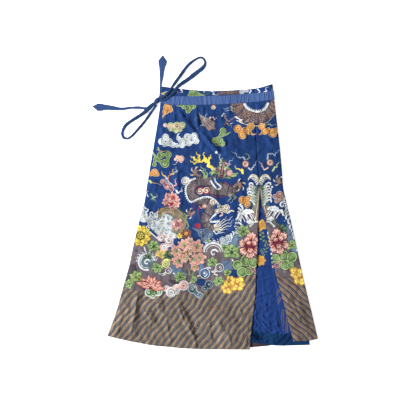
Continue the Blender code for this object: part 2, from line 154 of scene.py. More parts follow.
side_left, side_right = curve_through(SIDES), curve_through(SIDES, 2)
slit_left, slit_right = curve_through(SLIT), curve_through(SLIT, 2)
waist, seam, tie_middle = curve_through(WAIST), curve_through(SEAM), curve_through(TIE_LINE)
left_hem, right_hem, back_hem = curve_through(LEFT_HEM), curve_through(RIGHT_HEM), curve_through(BACK_HEM)
underlap_hem, underlap_right = curve_through(UNDERLAP_HEM), curve_through(UNDERLAP_SIDE)
facing_shows = curve_through(FACING_SHOWS)


def front_edge(slit_side, way):
    """The inner edge of a front: the seam down to the slit's top, then one side of the slit."""

    def value(y):
        return np.where(np.asarray(y, float) > SLIT_TOP, seam(y), slit_side(y)) + way * SEAM_GAP / 2

    return value


left_front_edge = front_edge(slit_left, -1)
right_front_edge = front_edge(slit_right, 1)


def near_tie(x, y):
    away = np.abs(y - tie_middle(x)) - TIE_WIDTH / 2
    return 1 - smooth_step(LIFT_LEVEL, LIFT_LEVEL + LIFT_FALL, away)


def back_underside(x, y):
    return (TIE_CLOTH + LAY_GAP) * near_tie(x, y)


def underlap_underside(x, y):
    return back_underside(x, y) + PANEL_CLOTH + LAY_GAP


def underlap_lift(x, y):
    left = smooth_step(-LIFT_LEVEL - LIFT_FALL, -LIFT_LEVEL, x - UNDERLAP_LEFT)
    top = 1 - smooth_step(LIFT_LEVEL, LIFT_LEVEL + LIFT_FALL, y - UNDERLAP_TOP)
    return (LINING_CLOTH + LAY_GAP) * left * top


def facing_underside(x, y):
    return underlap_underside(x, y) + LINING_CLOTH + LAY_GAP


def facing_lift(x, y):
    inward = x - slit_right(y) - FACING_TUCK
    across = 1 - smooth_step(LIFT_LEVEL / 2, LIFT_LEVEL / 2 + LIFT_FALL, inward)
    top = 1 - smooth_step(LIFT_LEVEL, LIFT_LEVEL + LIFT_FALL, y - FACING_TOP)
    return (LINING_CLOTH + LAY_GAP) * across * top


def ridges(rows, x, y, sharp=1.6, steep=1.0):
    """Sum of folds: each is a ridge between two shallow troughs, fading at both ends.

    With steep over 1, a fold falls faster on its right than on its left and has no trough there."""
    total = np.zeros(np.shape(x))
    for x0, y0, x1, y1, height, half_width in rows:
        along_x, along_y = x1 - x0, y1 - y0
        length = math.hypot(along_x, along_y)
        share = ((x - x0) * along_x + (y - y0) * along_y) / length**2
        off = ((x - x0) * along_y - (y - y0) * along_x) / length / half_width
        if along_y > 0:
            off = -off
        off = off * np.where(off < 0, steep, 1 / steep)
        ends = smooth_step(-0.15, 0.25, share) * (1 - smooth_step(0.75, 1.15, share))
        trough = 1 - off * off * ((off < 0) | (steep == 1.0))
        total += height * ends * trough * np.exp(-off * off / sharp)
    return total


# Sharper creases that lie on and between the folds, in the same columns as the folds
CREASES = (
    (-93, 298.2, -91.1, 251.7, 1.0, 3.4), (-80.6, 285.8, -52.7, 242.4, 1.3, 3.6),
    (-52.7, 242.4, -21.7, 217.6, 1.0, 3.4), (-26, 299.8, -19.8, 223.8, 1.4, 3.6),
    (-18.6, 226.9, 9.3, 194.4, 1.3, 4.0), (6.2, 197.5, 45, 151, 1.2, 4.2), (62, 195.9, 67, 155.6, 0.9, 3.2),
    (-7.8, 189.7, -9.3, 158.7, 0.9, 3.4), (24.8, 298.2, 31, 261, 0.9, 3.4),
    (74.4, 301.3, 71.3, 264.1, 0.7, 3.2), (120.9, 304.4, 130.2, 254.8, 0.8, 3.2),
    (136.4, 220.7, 142.6, 195.9, 0.9, 3.2), (167.4, 307.5, 173.6, 279.6, 0.8, 3.0),
    (181.3, 209.9, 203.1, 188.2, 1.0, 3.4), (-117.8, 298.2, -120.9, 261, 1.0, 3.4),
    (-58.9, 299.8, -58.9, 276.5, 0.8, 3.0), (-83.7, 106, -80.6, 16.1, 0.9, 4.0),
    (-130.2, 223.8, -145.7, 130.8, 0.7, 4.0), (27.9, 93.6, 40.3, 6.8, 0.7, 5.0),
    (-18.6, -8.7, -6.2, -117.2, 0.7, 5.0), (108.5, 99.8, 117.8, -5.6, 0.7, 4.4),
    (-190.7, -331.1, -163.4, -368.3, 1.7, 3.8), (-164.3, -365.2, -170.5, -396.2, 0.9, 3.6),
    (-146.6, -300.1, -138, -341.9, 1.3, 3.6), (-81.8, -321.8, -63.2, -371.4, 2.3, 3.8),
    (-63.9, -369.8, -32.9, -414.8, 2.3, 4.0), (-34.1, -413.2, -24.8, -455.1, 1.4, 3.8),
    (-207.7, -283, -216.1, -343.5, 1.4, 3.8), (-216.1, -340.4, -229.4, -408.6, 1.2, 4.0),
    (-258.9, -292.3, -247.4, -315.6, 1.0, 3.2), (-272.8, -312.5, -260.4, -340.4, 1.0, 3.2),
    (-275.9, -359, -285.2, -402.4, 0.9, 3.6), (-251.1, -334.2, -266.6, -396.2, 0.9, 3.8),
    (44, -369.8, 53.9, -385.3, 1.1, 2.8), (109.4, -329.5, 115.3, -348.1, 1.0, 2.8),
    (71.3, -396.2, 83.7, -448.9, 0.8, 4.0), (12.4, -359, 24.8, -448.9, 0.7, 4.2),
    (-120.9, -352.8, -102.3, -445.8, 0.9, 4.2), (136.4, -352.8, 127.1, -442.7, 0.8, 4.0),
    (269.7, -303.2, 303.8, -383.8, 1.0, 4.0), (241.8, -272.2, 269.7, -340.4, 0.8, 4.0),
)

# Mean distance between the gathers under the tie
GATHER_SPACING = 17.0
# How much deeper the creases and gathers are than their rows say
CREASE_DEPTH = 2.0
# Uneven relief of the fronts: strength, seed, wavelength, octaves
FRONT_RIPPLES = ((2.0, 3, 70.0, 3), (0.7, 4, 26.0, 2), (0.3, 11, 15.0, 2))
# The rolled edge along the centre seam, and the doubled cloth along a hem
SEAM_ROLL = 0.7
HEM_WIDTH = 13.0
HEM_RISE = 0.35


def gather_rows(seed):
    """Short soft folds that run down from the tie, unevenly spaced and leaning a little."""
    chance = random.Random(seed)
    rows = []
    x = -126.0
    while x < 206.0:
        top = float(tie_middle(x)) - TIE_WIDTH / 2 + 4.0
        length, lean = chance.uniform(20.0, 62.0), chance.uniform(-7.0, 10.0)
        rows.append((x, top, x + lean, top - length, chance.uniform(0.4, 1.1), chance.uniform(3.2, 5.2)))
        x += GATHER_SPACING * chance.uniform(0.55, 1.5)
    return rows


GATHERS = gather_rows(7)


def ripple(x, y, seed, wavelength, octaves=3):
    """Smooth uneven relief between about -1 and 1, from a few turned waves of falling length."""
    chance = random.Random(seed)
    total = np.zeros(np.shape(x))
    weight = 0.0
    for octave in range(octaves):
        reach = wavelength / 1.75**octave
        strength = 0.62**octave
        for _ in range(3):
            angle = chance.uniform(0, 2 * math.pi)
            shift, bend = chance.uniform(0, 6.28), chance.uniform(0, 6.28)
            u = x * math.cos(angle) + y * math.sin(angle)
            v = y * math.cos(angle) - x * math.sin(angle)
            warp = 0.9 * np.sin(2 * math.pi * v / (reach * 2.3) + bend)
            total += strength * np.sin(2 * math.pi * u / reach + shift + warp)
        weight += strength * 1.7
    return total / weight


def front_loft(x, y):
    inward = np.minimum(x - side_left(y), side_right(y) - x)
    rise = smooth_step(0, PUFF_RISE, inward) * (1 - near_tie(x, y))
    return rise * np.maximum(0.0, PUFF + ridges(FOLDS, x, y))


def front_rise(x, y):
    """Height of a front's cloth over the layer under it, never below that layer."""
    return np.maximum(0.0, front_loft(x, y) + front_detail(x, y))


def front_detail(x, y):
    """Creases, gathers and ripples that the laid cloth shows beyond its main folds."""
    inward = np.minimum(x - side_left(y), side_right(y) - x)
    clear = np.abs(y - tie_middle(x)) - TIE_WIDTH / 2
    rise = smooth_step(0, 9, inward) * smooth_step(-1, 14, clear)
    fine = CREASE_DEPTH * (ridges(CREASES, x, y, 1.3, 1.5) + ridges(GATHERS, x, y, 1.3, 1.3))
    fine += sum(strength * ripple(x, y, *wave) for strength, *wave in FRONT_RIPPLES)
    fine += 1.6 * (0.3 - np.abs(ripple(x, y, 6, 58.0, 2))) * smooth_step(0, 30, inward)
    above_slit = smooth_step(SLIT_TOP - 12, SLIT_TOP + 4, y)
    before = seam(y) - x
    roll = SEAM_ROLL * np.exp(-np.maximum(before, 0) / 9.0) * (before > 0)
    fine += above_slit * (roll - SEAM_ROLL * np.exp(-np.abs(before) / 2.0))
    return rise * fine


def hem_band(x, y, hem):
    """The doubled cloth along a hem stands a little higher than the rest."""
    above = y - hem(x)
    fall = 1 - smooth_step(HEM_WIDTH - 0.7, HEM_WIDTH + 0.7, above)
    return HEM_RISE * smooth_step(-1, 0.6, above) * fall


def left_front_height(x, y):
    base = underlap_underside(x, y) + underlap_lift(x, y)
    return base + front_rise(x, y) + hem_band(x, y, left_hem)


def right_front_height(x, y):
    base = underlap_underside(x, y) + underlap_lift(x, y) + facing_lift(x, y)
    return base + front_rise(x, y) + hem_band(x, y, right_hem)


def front_base(x, y):
    """Height of a front's underside without its fine detail, which the tie rests on."""
    return underlap_underside(x, y) + underlap_lift(x, y) + front_loft(x, y)


# Drag lines of the plain lower part of the underlap, in the same columns as the folds
DRAG_LINES = (
    (175.2, -200.9, 185.4, -300.1, 0.5, 6.0), (184.8, -297, 200.3, -390, 0.9, 4.6),
    (158.1, -205.5, 195.3, -208.6, 0.9, 3.0), (158.1, -247.4, 201.5, -233.4, 1.1, 3.4),
    (161.2, -290.8, 204.6, -278.4, 1.1, 3.4), (158.1, -331.1, 207.7, -321.8, 1.0, 3.4),
    (145.7, -340.4, 176.7, -386.9, 1.4, 3.6), (164.3, -359, 207.7, -405.5, 1.4, 3.6),
    (151.9, -399.3, 195.3, -371.4, 1.2, 3.4), (176.7, -421, 232.5, -399.3, 1.1, 3.4),
    (213.9, -340.4, 229.4, -396.2, 1.0, 3.2),
)


def underlap_plain_height(x, y):
    lower = smooth_step(-250, -330, y)
    crumple = ripple(x, y, 21, 34.0, 4)
    folded = 1 - np.abs(ripple(x, y, 22, 46.0, 3)) * 2
    fine = 1.4 * ridges(DRAG_LINES, x, y, 1.3) + 0.4 * crumple
    fine += lower * (1.2 * crumple + 1.2 * folded) + 0.5 * ripple(x, y, 25, 17.0)
    loft = 0.9 + np.maximum(-0.9, fine)
    shown = smooth_step(0, 14, x - slit_left(y) + 6) * smooth_step(0, 12, slit_right(y) - facing_shows(y) - x)
    below = 1 - smooth_step(left_hem(x) + 2, left_hem(x) + 14, y)
    return underlap_underside(x, y) + loft * np.maximum(shown, below) + hem_band(x, y, underlap_hem)


def underlap_printed_height(x, y):
    shown = smooth_step(0, 10, x - slit_left(y)) * smooth_step(0, 10, slit_right(y) - x)
    return underlap_underside(x, y) + shown * (0.5 + 0.4 * ripple(x, y, 23, 40.0))


def facing_height(x, y):
    return facing_underside(x, y) + 0.25 + 0.22 * ripple(x, y, 24, 26.0)


# Drawing on the cloth

INKS = {
    "navy": (35, 63, 116), "deep": (30, 52, 100), "ink": (38, 42, 58), "white": (226, 230, 230),
    "cream": (226, 218, 196), "pearl": (204, 210, 210), "foam": (188, 196, 200), "mist": (150, 164, 174),
    "slate": (100, 122, 152), "steel": (104, 124, 146), "azure": (84, 112, 152), "teal": (58, 88, 104),
    "brook": (98, 116, 124), "sage": (144, 158, 122), "leaf": (128, 158, 104), "forest": (56, 84, 58),
    "lime": (180, 200, 134), "yellow": (238, 216, 92), "lemon": (242, 234, 146), "gold": (204, 176, 80),
    "orange": (220, 162, 88), "amber": (236, 196, 128), "ochre": (186, 124, 62), "olive": (104, 100, 52),
    "rust": (150, 88, 56), "pink": (228, 192, 180), "rose": (200, 146, 140), "coral": (218, 142, 122),
    "blush": (222, 158, 142), "red": (156, 54, 64), "maroon": (104, 42, 56), "mauve": (156, 116, 126),
    "brown": (108, 98, 104), "umber": (76, 68, 76), "bark": (88, 80, 90), "ash": (146, 136, 138),
    "clay": (138, 118, 112), "scale": (160, 138, 126), "tan": (138, 120, 106), "earth": (114, 88, 74),
    "sand": (152, 129, 104), "dusk": (116, 106, 92), "stripe": (32, 35, 58), "silver": (118, 122, 134),
    "lining": (34, 62, 122), "hem_teal": (22, 56, 98),
}
INK_NAMES = list(INKS)
# Share of an ink's own strength on the cloth, since the studio light brightens all of it
INK_STRENGTH = 0.74


def linear(rgb):
    """Scene-linear values of an sRGB colour given from 0 to 255."""
    share = np.asarray(rgb, float) / 255
    return np.where(share <= 0.04045, share / 12.92, ((share + 0.055) / 1.055) ** 2.4)


def smooth(points, steps=4, closed=False):
    """Rows of a Catmull-Rom curve through rows of any number of columns."""
    rows = np.asarray(points, float)
    if closed:
        ends = np.vstack([rows[-1:], rows, rows[:2]])
    else:
        ends = np.vstack([rows[:1], rows, rows[-1:]])
    t = (np.arange(steps) / steps)[:, None]
    spans = []
    for p, q, r, s in zip(ends, ends[1:], ends[2:], ends[3:]):
        even = 2 * q + (r - p) * t + (2 * p - 5 * q + 4 * r - s) * t**2
        spans.append(0.5 * (even + (3 * q - p - 3 * r + s) * t**3))
    if not closed:
        spans.append(rows[-1:])
    return np.vstack(spans)


def course(path):
    """Unit directions along a path and to its left, and the distance travelled at each point."""
    along = np.gradient(path[:, :2], axis=0)
    steps = np.maximum(np.linalg.norm(along, axis=1), 1e-9)
    along /= steps[:, None]
    return along, np.column_stack((-along[:, 1], along[:, 0])), np.cumsum(steps)


class Brush:
    """Draws flat shapes in a motif's own frame, which is placed, sized and turned on the cloth.

    Later shapes cover earlier ones."""

    def __init__(self, art, x=0.0, y=0.0, size=1.0, turn=0.0, flip=1.0):
        self.art, self.centre, self.size, self.flip = art, np.array((x, y), float), size, flip
        self.turn = turn
        c, s = math.cos(math.radians(turn)), math.sin(math.radians(turn))
        self.spin = np.array(((c, s), (-s, c)))

    def place(self, points):
        return (np.asarray(points, float) * (self.size * self.flip, self.size)) @ self.spin + self.centre

    def at(self, x, y, size=1.0, turn=0.0, flip=1.0):
        """A brush for a smaller motif inside this one."""
        centre = self.place(((x, y),))[0]
        return Brush(self.art, *centre, self.size * size, self.turn + turn * self.flip, self.flip * flip)

    def shape(self, ink, points):
        self.art.append((ink, self.place(points)))

    def blob(self, ink, points, steps=4):
        self.shape(ink, smooth(points, steps, closed=True))

    def nest(self, stack, points, steps=0):
        """One outline in several inks, each with its share of the full size, smoothed in steps."""
        for ink, share in stack:
            sized = [(share * x, share * y) for x, y in points]
            self.shape(ink, smooth(sized, steps, closed=True) if steps else sized)

    def disc(self, ink, x, y, radius, squash=1.0):
        sides = 10 if radius * self.size < 3 else 14 if radius * self.size < 9 else 20
        turns = np.arange(sides) * 2 * math.pi / sides
        self.shape(ink, np.column_stack((x + radius * np.cos(turns), y + radius * squash * np.sin(turns))))

    def stroke(self, ink, rows, steps=4):
        """A brush stroke through rows of x, y and width."""
        path = smooth(rows, steps)
        reach = course(path)[1] * path[:, 2:3] / 2
        self.shape(ink, np.vstack([path[:, :2] + reach, (path[:, :2] - reach)[::-1]]))

    def line(self, ink, width, points, steps=4):
        """A stroke of one width through points."""
        self.stroke(ink, np.column_stack((np.asarray(points, float), np.full(len(points), width))), steps)

    def flame(self, ink, width, points, steps=4, tip=0.12):
        """A stroke through points that thins out towards its tip."""
        taper = np.linspace(1.0, tip, len(points)) * width
        self.stroke(ink, np.column_stack((np.asarray(points, float), taper)), steps)

    def curl(self, ink, x, y, radius, turns, width, start=0.0):
        """A spiral stroke that winds in towards x, y."""
        share = np.linspace(0, 1, max(7, int(turns * 9)))
        angle = math.radians(start) + share * turns * 2 * math.pi
        reach = radius * (1 - 0.86 * share)
        widths = radius * width * 2 * (1 - 0.5 * share)
        self.stroke(ink, np.column_stack((x + reach * np.cos(angle), y + reach * np.sin(angle), widths)), 1)


# Inks of each kind of cloud: rim, its width, contour line, its width, fill, curl
CLOUD_INKS = {
    "orange": ("amber", 1.4, "rust", 1.6, "orange", "umber"),
    "green": ("lime", 1.6, "forest", 1.3, "leaf", "forest"),
    "white": ("white", 1.9, "mist", 1.3, "white", "steel"),
    "sage": ("lime", 1.5, "leaf", 1.4, "pink", "olive"),
    "blue": ("mist", 1.2, "deep", 1.3, "steel", "mist"),
    "cream": ("cream", 1.5, "umber", 1.5, "cream", "maroon"),
    "fawn": ("cream", 1.4, "maroon", 1.5, "rose", "umber"),
    "rosy": ("pink", 1.2, "maroon", 1.2, "mauve", "pink"),
    "foam": ("white", 1.8, "steel", 1.5, "foam", "steel"),
    "shell": ("pink", 2.0, "mauve", 1.0, "white", "umber"),
    "leafy": ("white", 2.4, "leaf", 1.6, "forest", "white"),
    "petal": ("white", 2.4, "rose", 1.2, "pink", "brown"),
    "chalk": ("white", 2.2, "clay", 1.3, "white", "brown"),
    "night": ("foam", 1.9, "slate", 1.6, "forest", "foam"),
    "dark": ("mist", 1.9, "teal", 1.6, "ink", "pearl"),
    "azure": ("white", 1.9, "deep", 1.2, "azure", "white"),
    "dusky": ("white", 1.9, "umber", 1.4, "brown", "white"),
    "citron": ("lemon", 2.0, "olive", 1.4, "lime", "olive"),
}


def cloud(brush, kind, lobes, tail=()):
    """A cloud of round lobes under one rim, with a curl in every lobe that starts from its rim."""
    rim, edge, line, thin, fill, curl = CLOUD_INKS[kind]
    spine = [(x, y, 0.9 * radius) for x, y, radius in lobes]
    for ink, inset in ((rim, 0.0), (line, edge), (fill, edge + thin)):
        for rows in (tail, spine):
            if len(rows) > 1:
                brush.stroke(ink, [(x, y, max(0.8, width - 2 * inset)) for x, y, width in rows], 3)
        for x, y, radius in lobes:
            brush.disc(ink, x, y, radius - inset)
    middle = np.mean([row[:2] for row in lobes], axis=0)
    for i, (x, y, radius) in enumerate(lobes):
        inward = math.degrees(math.atan2(middle[1] - y, middle[0] - x)) if len(lobes) > 1 else 200
        brush.curl(line, x, y, radius - edge, 1.5, 0.11, inward - 50 + 17 * (i % 3))
        if radius > 8:
            brush.curl(rim, x, y, 0.7 * (radius - edge), 1.0, 0.12, inward + 60)
            brush.disc(curl, x, y, 0.15 * radius)


def pearl(brush):
    """A round pearl of rings."""
    for ink, radius in (("maroon", 1.0), ("clay", 0.9), ("cream", 0.66), ("rose", 0.5)):
        brush.disc(ink, 0, 0, radius)
    brush.curl("maroon", 0, 0, 0.34, 1.2, 0.16, 30)


def claw(brush):
    """A foot with hooked toes and pale tips."""
    for ink, width in (("umber", 0.62), ("clay", 0.42)):
        brush.flame(ink, width, ((-0.9, -0.3), (-0.4, 0.1), (0.05, 0.0)), tip=0.9)
        for turn in (-100, -40, 20, 84):
            toe = brush.at(0, 0, 1, turn)
            toe.flame(ink, 0.8 * width, ((0.05, 0.0), (0.42, 0.14), (0.76, -0.02)), tip=0.6)
            toe.flame("cream", 0.24, ((0.68, 0.04), (0.9, -0.1), (0.94, -0.4)))


def scaled_body(brush, rows, inks=("umber", "umber", "ash", "clay"), scale=4.8):
    """A long body through rows of x, y and width, covered with staggered rows of scales."""
    dark, skin, light, spot = inks
    path = smooth(rows, 6)
    along, side, travelled = course(path)
    brush.stroke(dark, path, 1)
    brush.stroke(skin, np.column_stack((path[:, :2], path[:, 2] - 2.0)), 1)
    for row in range(int(travelled[-1] / scale)):
        i = min(int(np.searchsorted(travelled, (row + 0.5) * scale)), len(path) - 1)
        inner = path[i, 2] - 4
        across = int(max(1, inner / scale))
        for k in range(across):
            share = (k + 0.5 + 0.5 * (row % 2)) / across - 0.5
            if abs(share) > 0.46:
                continue
            centre = path[i, :2] + side[i] * share * inner
            tip, wide = along[i] * scale * 0.6, side[i] * scale * 0.42
            brush.shape(light, (centre + wide, centre + tip, centre - wide, centre - tip * 0.5))
            if scale > 5 or (row + k) % 3 == 0:
                wide = wide / 2
                brush.shape(spot, (centre + wide, centre + tip * 0.6, centre - wide, centre - tip * 0.1))


def crest(brush, points, thick, tooth):
    """A white saw-edged band through points, its teeth on the left of the way it runs."""
    path = smooth(points, 4)
    along, side, _ = course(path)
    for p, q, out, way in zip(path, path[1:], side, along):
        brush.shape("white", (p, p + out * (thick / 2 + tooth) + way * 2.0, q))
    brush.line("mist", thick + 1.2, path, 1)
    brush.line("white", thick, path, 1)


# Inks of each kind of flower: outline, petal, its rim, vein, heart
FLOWER_INKS = {
    "mauve": ("maroon", "rose", "pink", "red", "clay"),
    "salmon": ("umber", "blush", "pink", "sage", "olive"),
    "crimson": ("maroon", "pink", "coral", "red", "rose"),
    "sun": ("ochre", "yellow", "lemon", "ochre", "orange"),
    "golden": ("olive", "gold", "yellow", "olive", "lime"),
    "ember": ("orange", "maroon", "ink", "orange", "amber"),
    "honey": ("ochre", "orange", "gold", "rust", "amber"),
    "lotus": ("maroon", "coral", "pink", "red", "pink"),
}


def frill(brush, kind, bumps):
    """A frilled petal that opens along +Y: round scallops, a thin margin and a leafy heart."""
    outline, petal, rim, vein, heart = FLOWER_INKS[kind]
    edge, inner = [(0.26, -0.9), (-0.26, -0.9)], [(0.0, -0.6)]
    for k in range(3 * bumps + 1):
        turn = math.radians(-116 + 232 * k / (3 * bumps))
        reach = (0.7, 0.98, 1.0)[k % 3] + 0.08 * math.sin(2.2 * (k // 3))
        edge.append((reach * math.sin(turn), 0.08 + reach * math.cos(turn)))
        reach = (0.3, 0.62, 0.5)[k % 3]
        inner.append((0.9 * reach * math.sin(turn), 0.04 + reach * math.cos(turn)))
    brush.nest(((outline, 1.1), (rim, 1.0), (petal, 0.88)), edge, 2)
    brush.shape(vein, inner)
    brush.shape(heart, [(0.4 * x, 0.4 * y - 0.12) for x, y in inner])


# Edge of a fan-shaped petal
BLADE_EDGE = (
    (-0.1, -0.3), (-0.5, 0.26), (-0.6, 0.6), (-0.36, 0.66), (-0.24, 1.0), (-0.02, 0.78), (0.16, 1.06),
    (0.34, 0.74), (0.62, 0.7), (0.5, 0.26), (0.1, -0.3),
)


def blade(brush, kind):
    """A fan-shaped petal that opens along +Y, with a notched edge and dark wedges at its foot."""
    outline, petal, rim, _, heart = FLOWER_INKS[kind]
    for ink, share in ((outline, 1.22), (petal, 0.98)):
        brush.shape(ink, [(x * share, 0.3 + (y - 0.3) * share) for x, y in BLADE_EDGE])
    brush.shape(rim, ((0.02, -0.3), (-0.3, 0.2), (-0.1, 0.52), (0.06, 0.3), (0.24, 0.62), (0.42, 0.24)))
    brush.shape(heart, ((-0.38, 0.4), (-0.26, 0.8), (-0.14, 0.6)))
    for lean in (-0.3, 0.14):
        brush.flame(outline, 0.3, ((0.2 * lean, -0.3), (0.8 * lean, 0.1), (1.2 * lean, 0.5)), 1)


# Lobes of a full peony: place across and up, size
FRILLS = (
    (0.44, -0.84, 0.34), (-0.68, -0.4, 0.5), (0.74, -0.22, 0.5), (-0.84, 0.3, 0.42), (0.1, 1.0, 0.3),
    (-0.3, 0.72, 0.46), (0.6, 0.58, 0.5), (-0.32, -0.12, 0.42), (0.34, -0.26, 0.42), (0.14, 0.36, 0.4),
    (-0.14, 0.12, 0.4),
)
# Petals of a loose peony: place across and up, size, turn
PETALS = (
    (0.1, 0.5, 0.74, -6), (0.5, 0.22, 0.66, -58), (0.44, -0.3, 0.66, -112), (0.02, -0.5, 0.7, -176),
    (-0.42, -0.32, 0.66, 130), (-0.48, 0.12, 0.64, 74), (-0.22, 0.3, 0.5, 24), (0.26, 0.1, 0.46, -50),
    (0.0, -0.22, 0.46, 190), (-0.1, 0.06, 0.38, 10),
)


def peony(brush, kind, squash=1.0):
    """A full flower of frilled or loose petals, those at the back first."""
    outline, petal, rim, vein, heart = FLOWER_INKS[kind]
    brush.disc(outline, 0, 0, 0.5, squash)
    if kind not in ("salmon", "mauve"):
        for x, y, size, turn in PETALS:
            blade(brush.at(x, y * squash, size, turn), kind)
        return
    full = kind == "salmon"
    for k, (x, y, size) in enumerate(FRILLS if full else FRILLS[::2]):
        place = brush.at(x, y * squash, size * (1.0 if full else 1.25), math.degrees(math.atan2(-x, y)))
        frill(place, kind, 4 + k % 2)
    for k in range(22):
        reach, turn = 0.1 + 0.034 * k % 0.42, 2.4 * k
        place = brush.at(reach * math.cos(turn), reach * squash * math.sin(turn), 0.17, 97 * k)
        ink = (vein, rim, petal, outline, heart)[k % 5]
        place.flame(ink, 0.7, ((-0.8, -0.4), (0.1, 0.4), (0.8, -0.2)), 2, 0.4)


def daisy(brush, kind, petals):
    """A round flower of two rings of plump petals round a dotted heart."""
    outline, petal, rim, vein, heart = FLOWER_INKS[kind]
    brush.disc(outline, 0, 0, 0.9)
    for ring in range(2):
        reach = 0.84 - 0.25 * ring
        half = 0.98 * math.pi / petals * reach * (1.0 + 0.2 * ring)
        for k in range(petals):
            place = brush.at(0, 0, 1, 360 / petals * (k + 0.5 * (ring % 2)))
            for ink, grow in ((outline, 0.035), (rim if k % 2 else petal, -0.01)):
                inner, outer, wide = reach - half - 0.08 - grow, reach + half + 0.02 + grow, half + grow
                place.blob(ink, ((inner, 0), (reach, wide), (outer, 0), (reach, -wide)), 3)
            place.flame(vein, 0.045, ((reach - half, 0), (reach, 0.01), (reach + 0.5 * half, 0)), 1)
    brush.disc(outline, 0, 0, 0.46)
    for k in range(7):
        turn = k * 2 * math.pi / 7
        brush.disc(petal, 0.24 * math.cos(turn), 0.24 * math.sin(turn), 0.085)
    brush.disc(heart, 0, 0, 0.09)


# Lean and length of each petal of a flower seen from the side, from the outermost to the front ones
LOTUS_PETALS = (
    (-98, 1.1), (-62, 0.92), (-26, 0.9), (12, 0.96), (46, 0.96), (74, 1.2),
    (-80, 0.84), (-42, 0.74), (-6, 0.76), (28, 0.7), (62, 0.84),
    (-100, 0.6), (-52, 0.5), (4, 0.46), (50, 0.56), (92, 0.7),
)


def lotus(brush, kind):
    """A flower seen from the side, with pointed petals that open upwards."""
    outline, petal, rim, vein, heart = FLOWER_INKS[kind]
    brush.disc(outline, 0, -0.1, 0.44)
    for lean, length in LOTUS_PETALS:
        place = brush.at(0, -0.3, length, lean)
        for ink, wide in ((outline, 0.34), (petal, 0.26), (rim, 0.1)):
            top, mid = 0.9 + wide, wide * 0.6
            place.blob(ink, ((0, 0), (-wide, 0.42), (-mid, 0.8), (0, top), (mid, 0.8), (wide, 0.42)), 3)
        place.flame(vein, 0.12, ((0, 0.05), (0.03, 0.4), (0, 0.76)), 1)
        place.flame(outline, 0.2, ((0, 0.0), (0, 0.25), (0, 0.5)), 1)
    for k in range(5):
        brush.disc(heart, 0.11 * (k - 2), -0.24 + 0.04 * (k % 2), 0.06)


# Inks of each kind of leaf: light streak, leaf, dark streak, outline
LEAF_INKS = {
    "fresh": ("lime", "leaf", "forest", "forest"),
    "light": ("lime", "leaf", "olive", "forest"),
    "dark": ("leaf", "forest", "ink", "teal"),
    "golden": ("amber", "gold", "leaf", "rust"),
}
# Lean of each lobe of a leaf, and the edge of one lobe: turn, reach
LEAF_LEANS = (-116, -58, 0, 58, 116)
LEAF_LOBE = ((-29, 0.62), (-19, 0.98), (-11, 0.84), (0, 1.12), (10, 0.86), (20, 1.0))


def leaf(brush, kind):
    """A leaf with five ragged lobes, each with a pale tip, a vein and side veins."""
    light, first, second, line = LEAF_INKS[kind]
    edge = []
    for k, lean in enumerate(LEAF_LEANS):
        for j, (turn, reach) in enumerate(LEAF_LOBE):
            angle = math.radians(lean + turn)
            reach += 0.07 * math.sin(2.6 * k + 4.1 * j)
            edge.append((reach * math.sin(angle), reach * math.cos(angle)))
    brush.nest(((line, 1.06), (first, 1.0)), edge)
    for k, lean in enumerate(LEAF_LEANS):
        lobe = brush.at(0, 0, 1, lean)
        lobe.blob(light, ((-0.04, 0.24), (-0.24, 0.62), (-0.02, 0.96), (0.2, 0.74 - 0.1 * (k % 2))), 2)
        lobe.flame(second, 0.13, ((0.02, 0.06), (0.05, 0.45), (0.0, 0.9)), 2, 0.4)
        for way in (-1, 1):
            lobe.flame(second, 0.09, ((0.03, 0.4), (0.14 * way, 0.56), (0.25 * way, 0.84)), 1, 0.5)
    brush.disc(second, 0, -0.04, 0.16)


def sprig(brush, count, stem, blade):
    """A thin stem with small leaves on both sides."""
    brush.stroke(stem, ((0, -1.0, 0.07), (0.08, -0.4, 0.06), (-0.06, 0.3, 0.05), (0.04, 1.0, 0.03)))
    for k in range(count):
        place = brush.at(0.02, -0.8 + 1.7 * k / (count - 1), 0.42, 62 if k % 2 else -62)
        place.blob(blade, ((0, 0.05), (-0.24, 0.5), (0, 1.0), (0.24, 0.5)), 3)


def wave_crest(brush, fill, second, first=20, last=262):
    """A breaking wave: an arc of foam over a curled hollow, with hooked teeth outside it."""

    def on_ring(radius, turn):
        return radius * math.cos(turn), radius * math.sin(turn)

    brush.disc(fill, 0, 0, 0.9)
    for radius in (0.66, 0.52):
        for k in range(14):
            brush.disc(second, *on_ring(radius, math.radians(first + 24 * k)), 0.05)
    turns = [math.radians(first + (last - first) * k / 12) for k in range(13)]
    for radius, width in ((1.0, 0.2), (0.74, 0.06)):
        brush.line("white", width, [on_ring(radius, turn) for turn in turns], 2)
    for k in range(9):
        turn = first + 8 + 20 * k
        hook(brush.at(*on_ring(1.12, math.radians(turn)), 0.22, turn - 96))
        brush.disc("white", *on_ring(1.44, math.radians(turn)), 0.045)
    brush.curl("white", 0.04, -0.06, 0.46, 0.9, 0.2, 20)


def spiral(brush):
    """A round green curl: a dark disc with a pale rim and a dark spiral in it."""
    for ink, radius in (("ink", 1.12), ("lime", 1.0), ("leaf", 0.86)):
        brush.disc(ink, 0, 0, radius)
    brush.curl("forest", 0, 0, 0.74, 1.5, 0.12, 30)
    brush.curl("lime", 0, 0, 0.52, 1.0, 0.1, 200)


def hook(brush):
    """One curled tip of foam with a dark edge."""
    tip = ((0.0, -0.4), (0.06, 0.36), (0.5, 0.76), (0.94, 0.52), (0.86, 0.1), (0.56, 0.16))
    brush.flame("deep", 0.76, tip, 3, 0.5)
    brush.flame("white", 0.46, tip, 3, 0.3)
    brush.flame("steel", 0.12, ((0.04, -0.3), (0.12, 0.3), (0.48, 0.6)), 2)


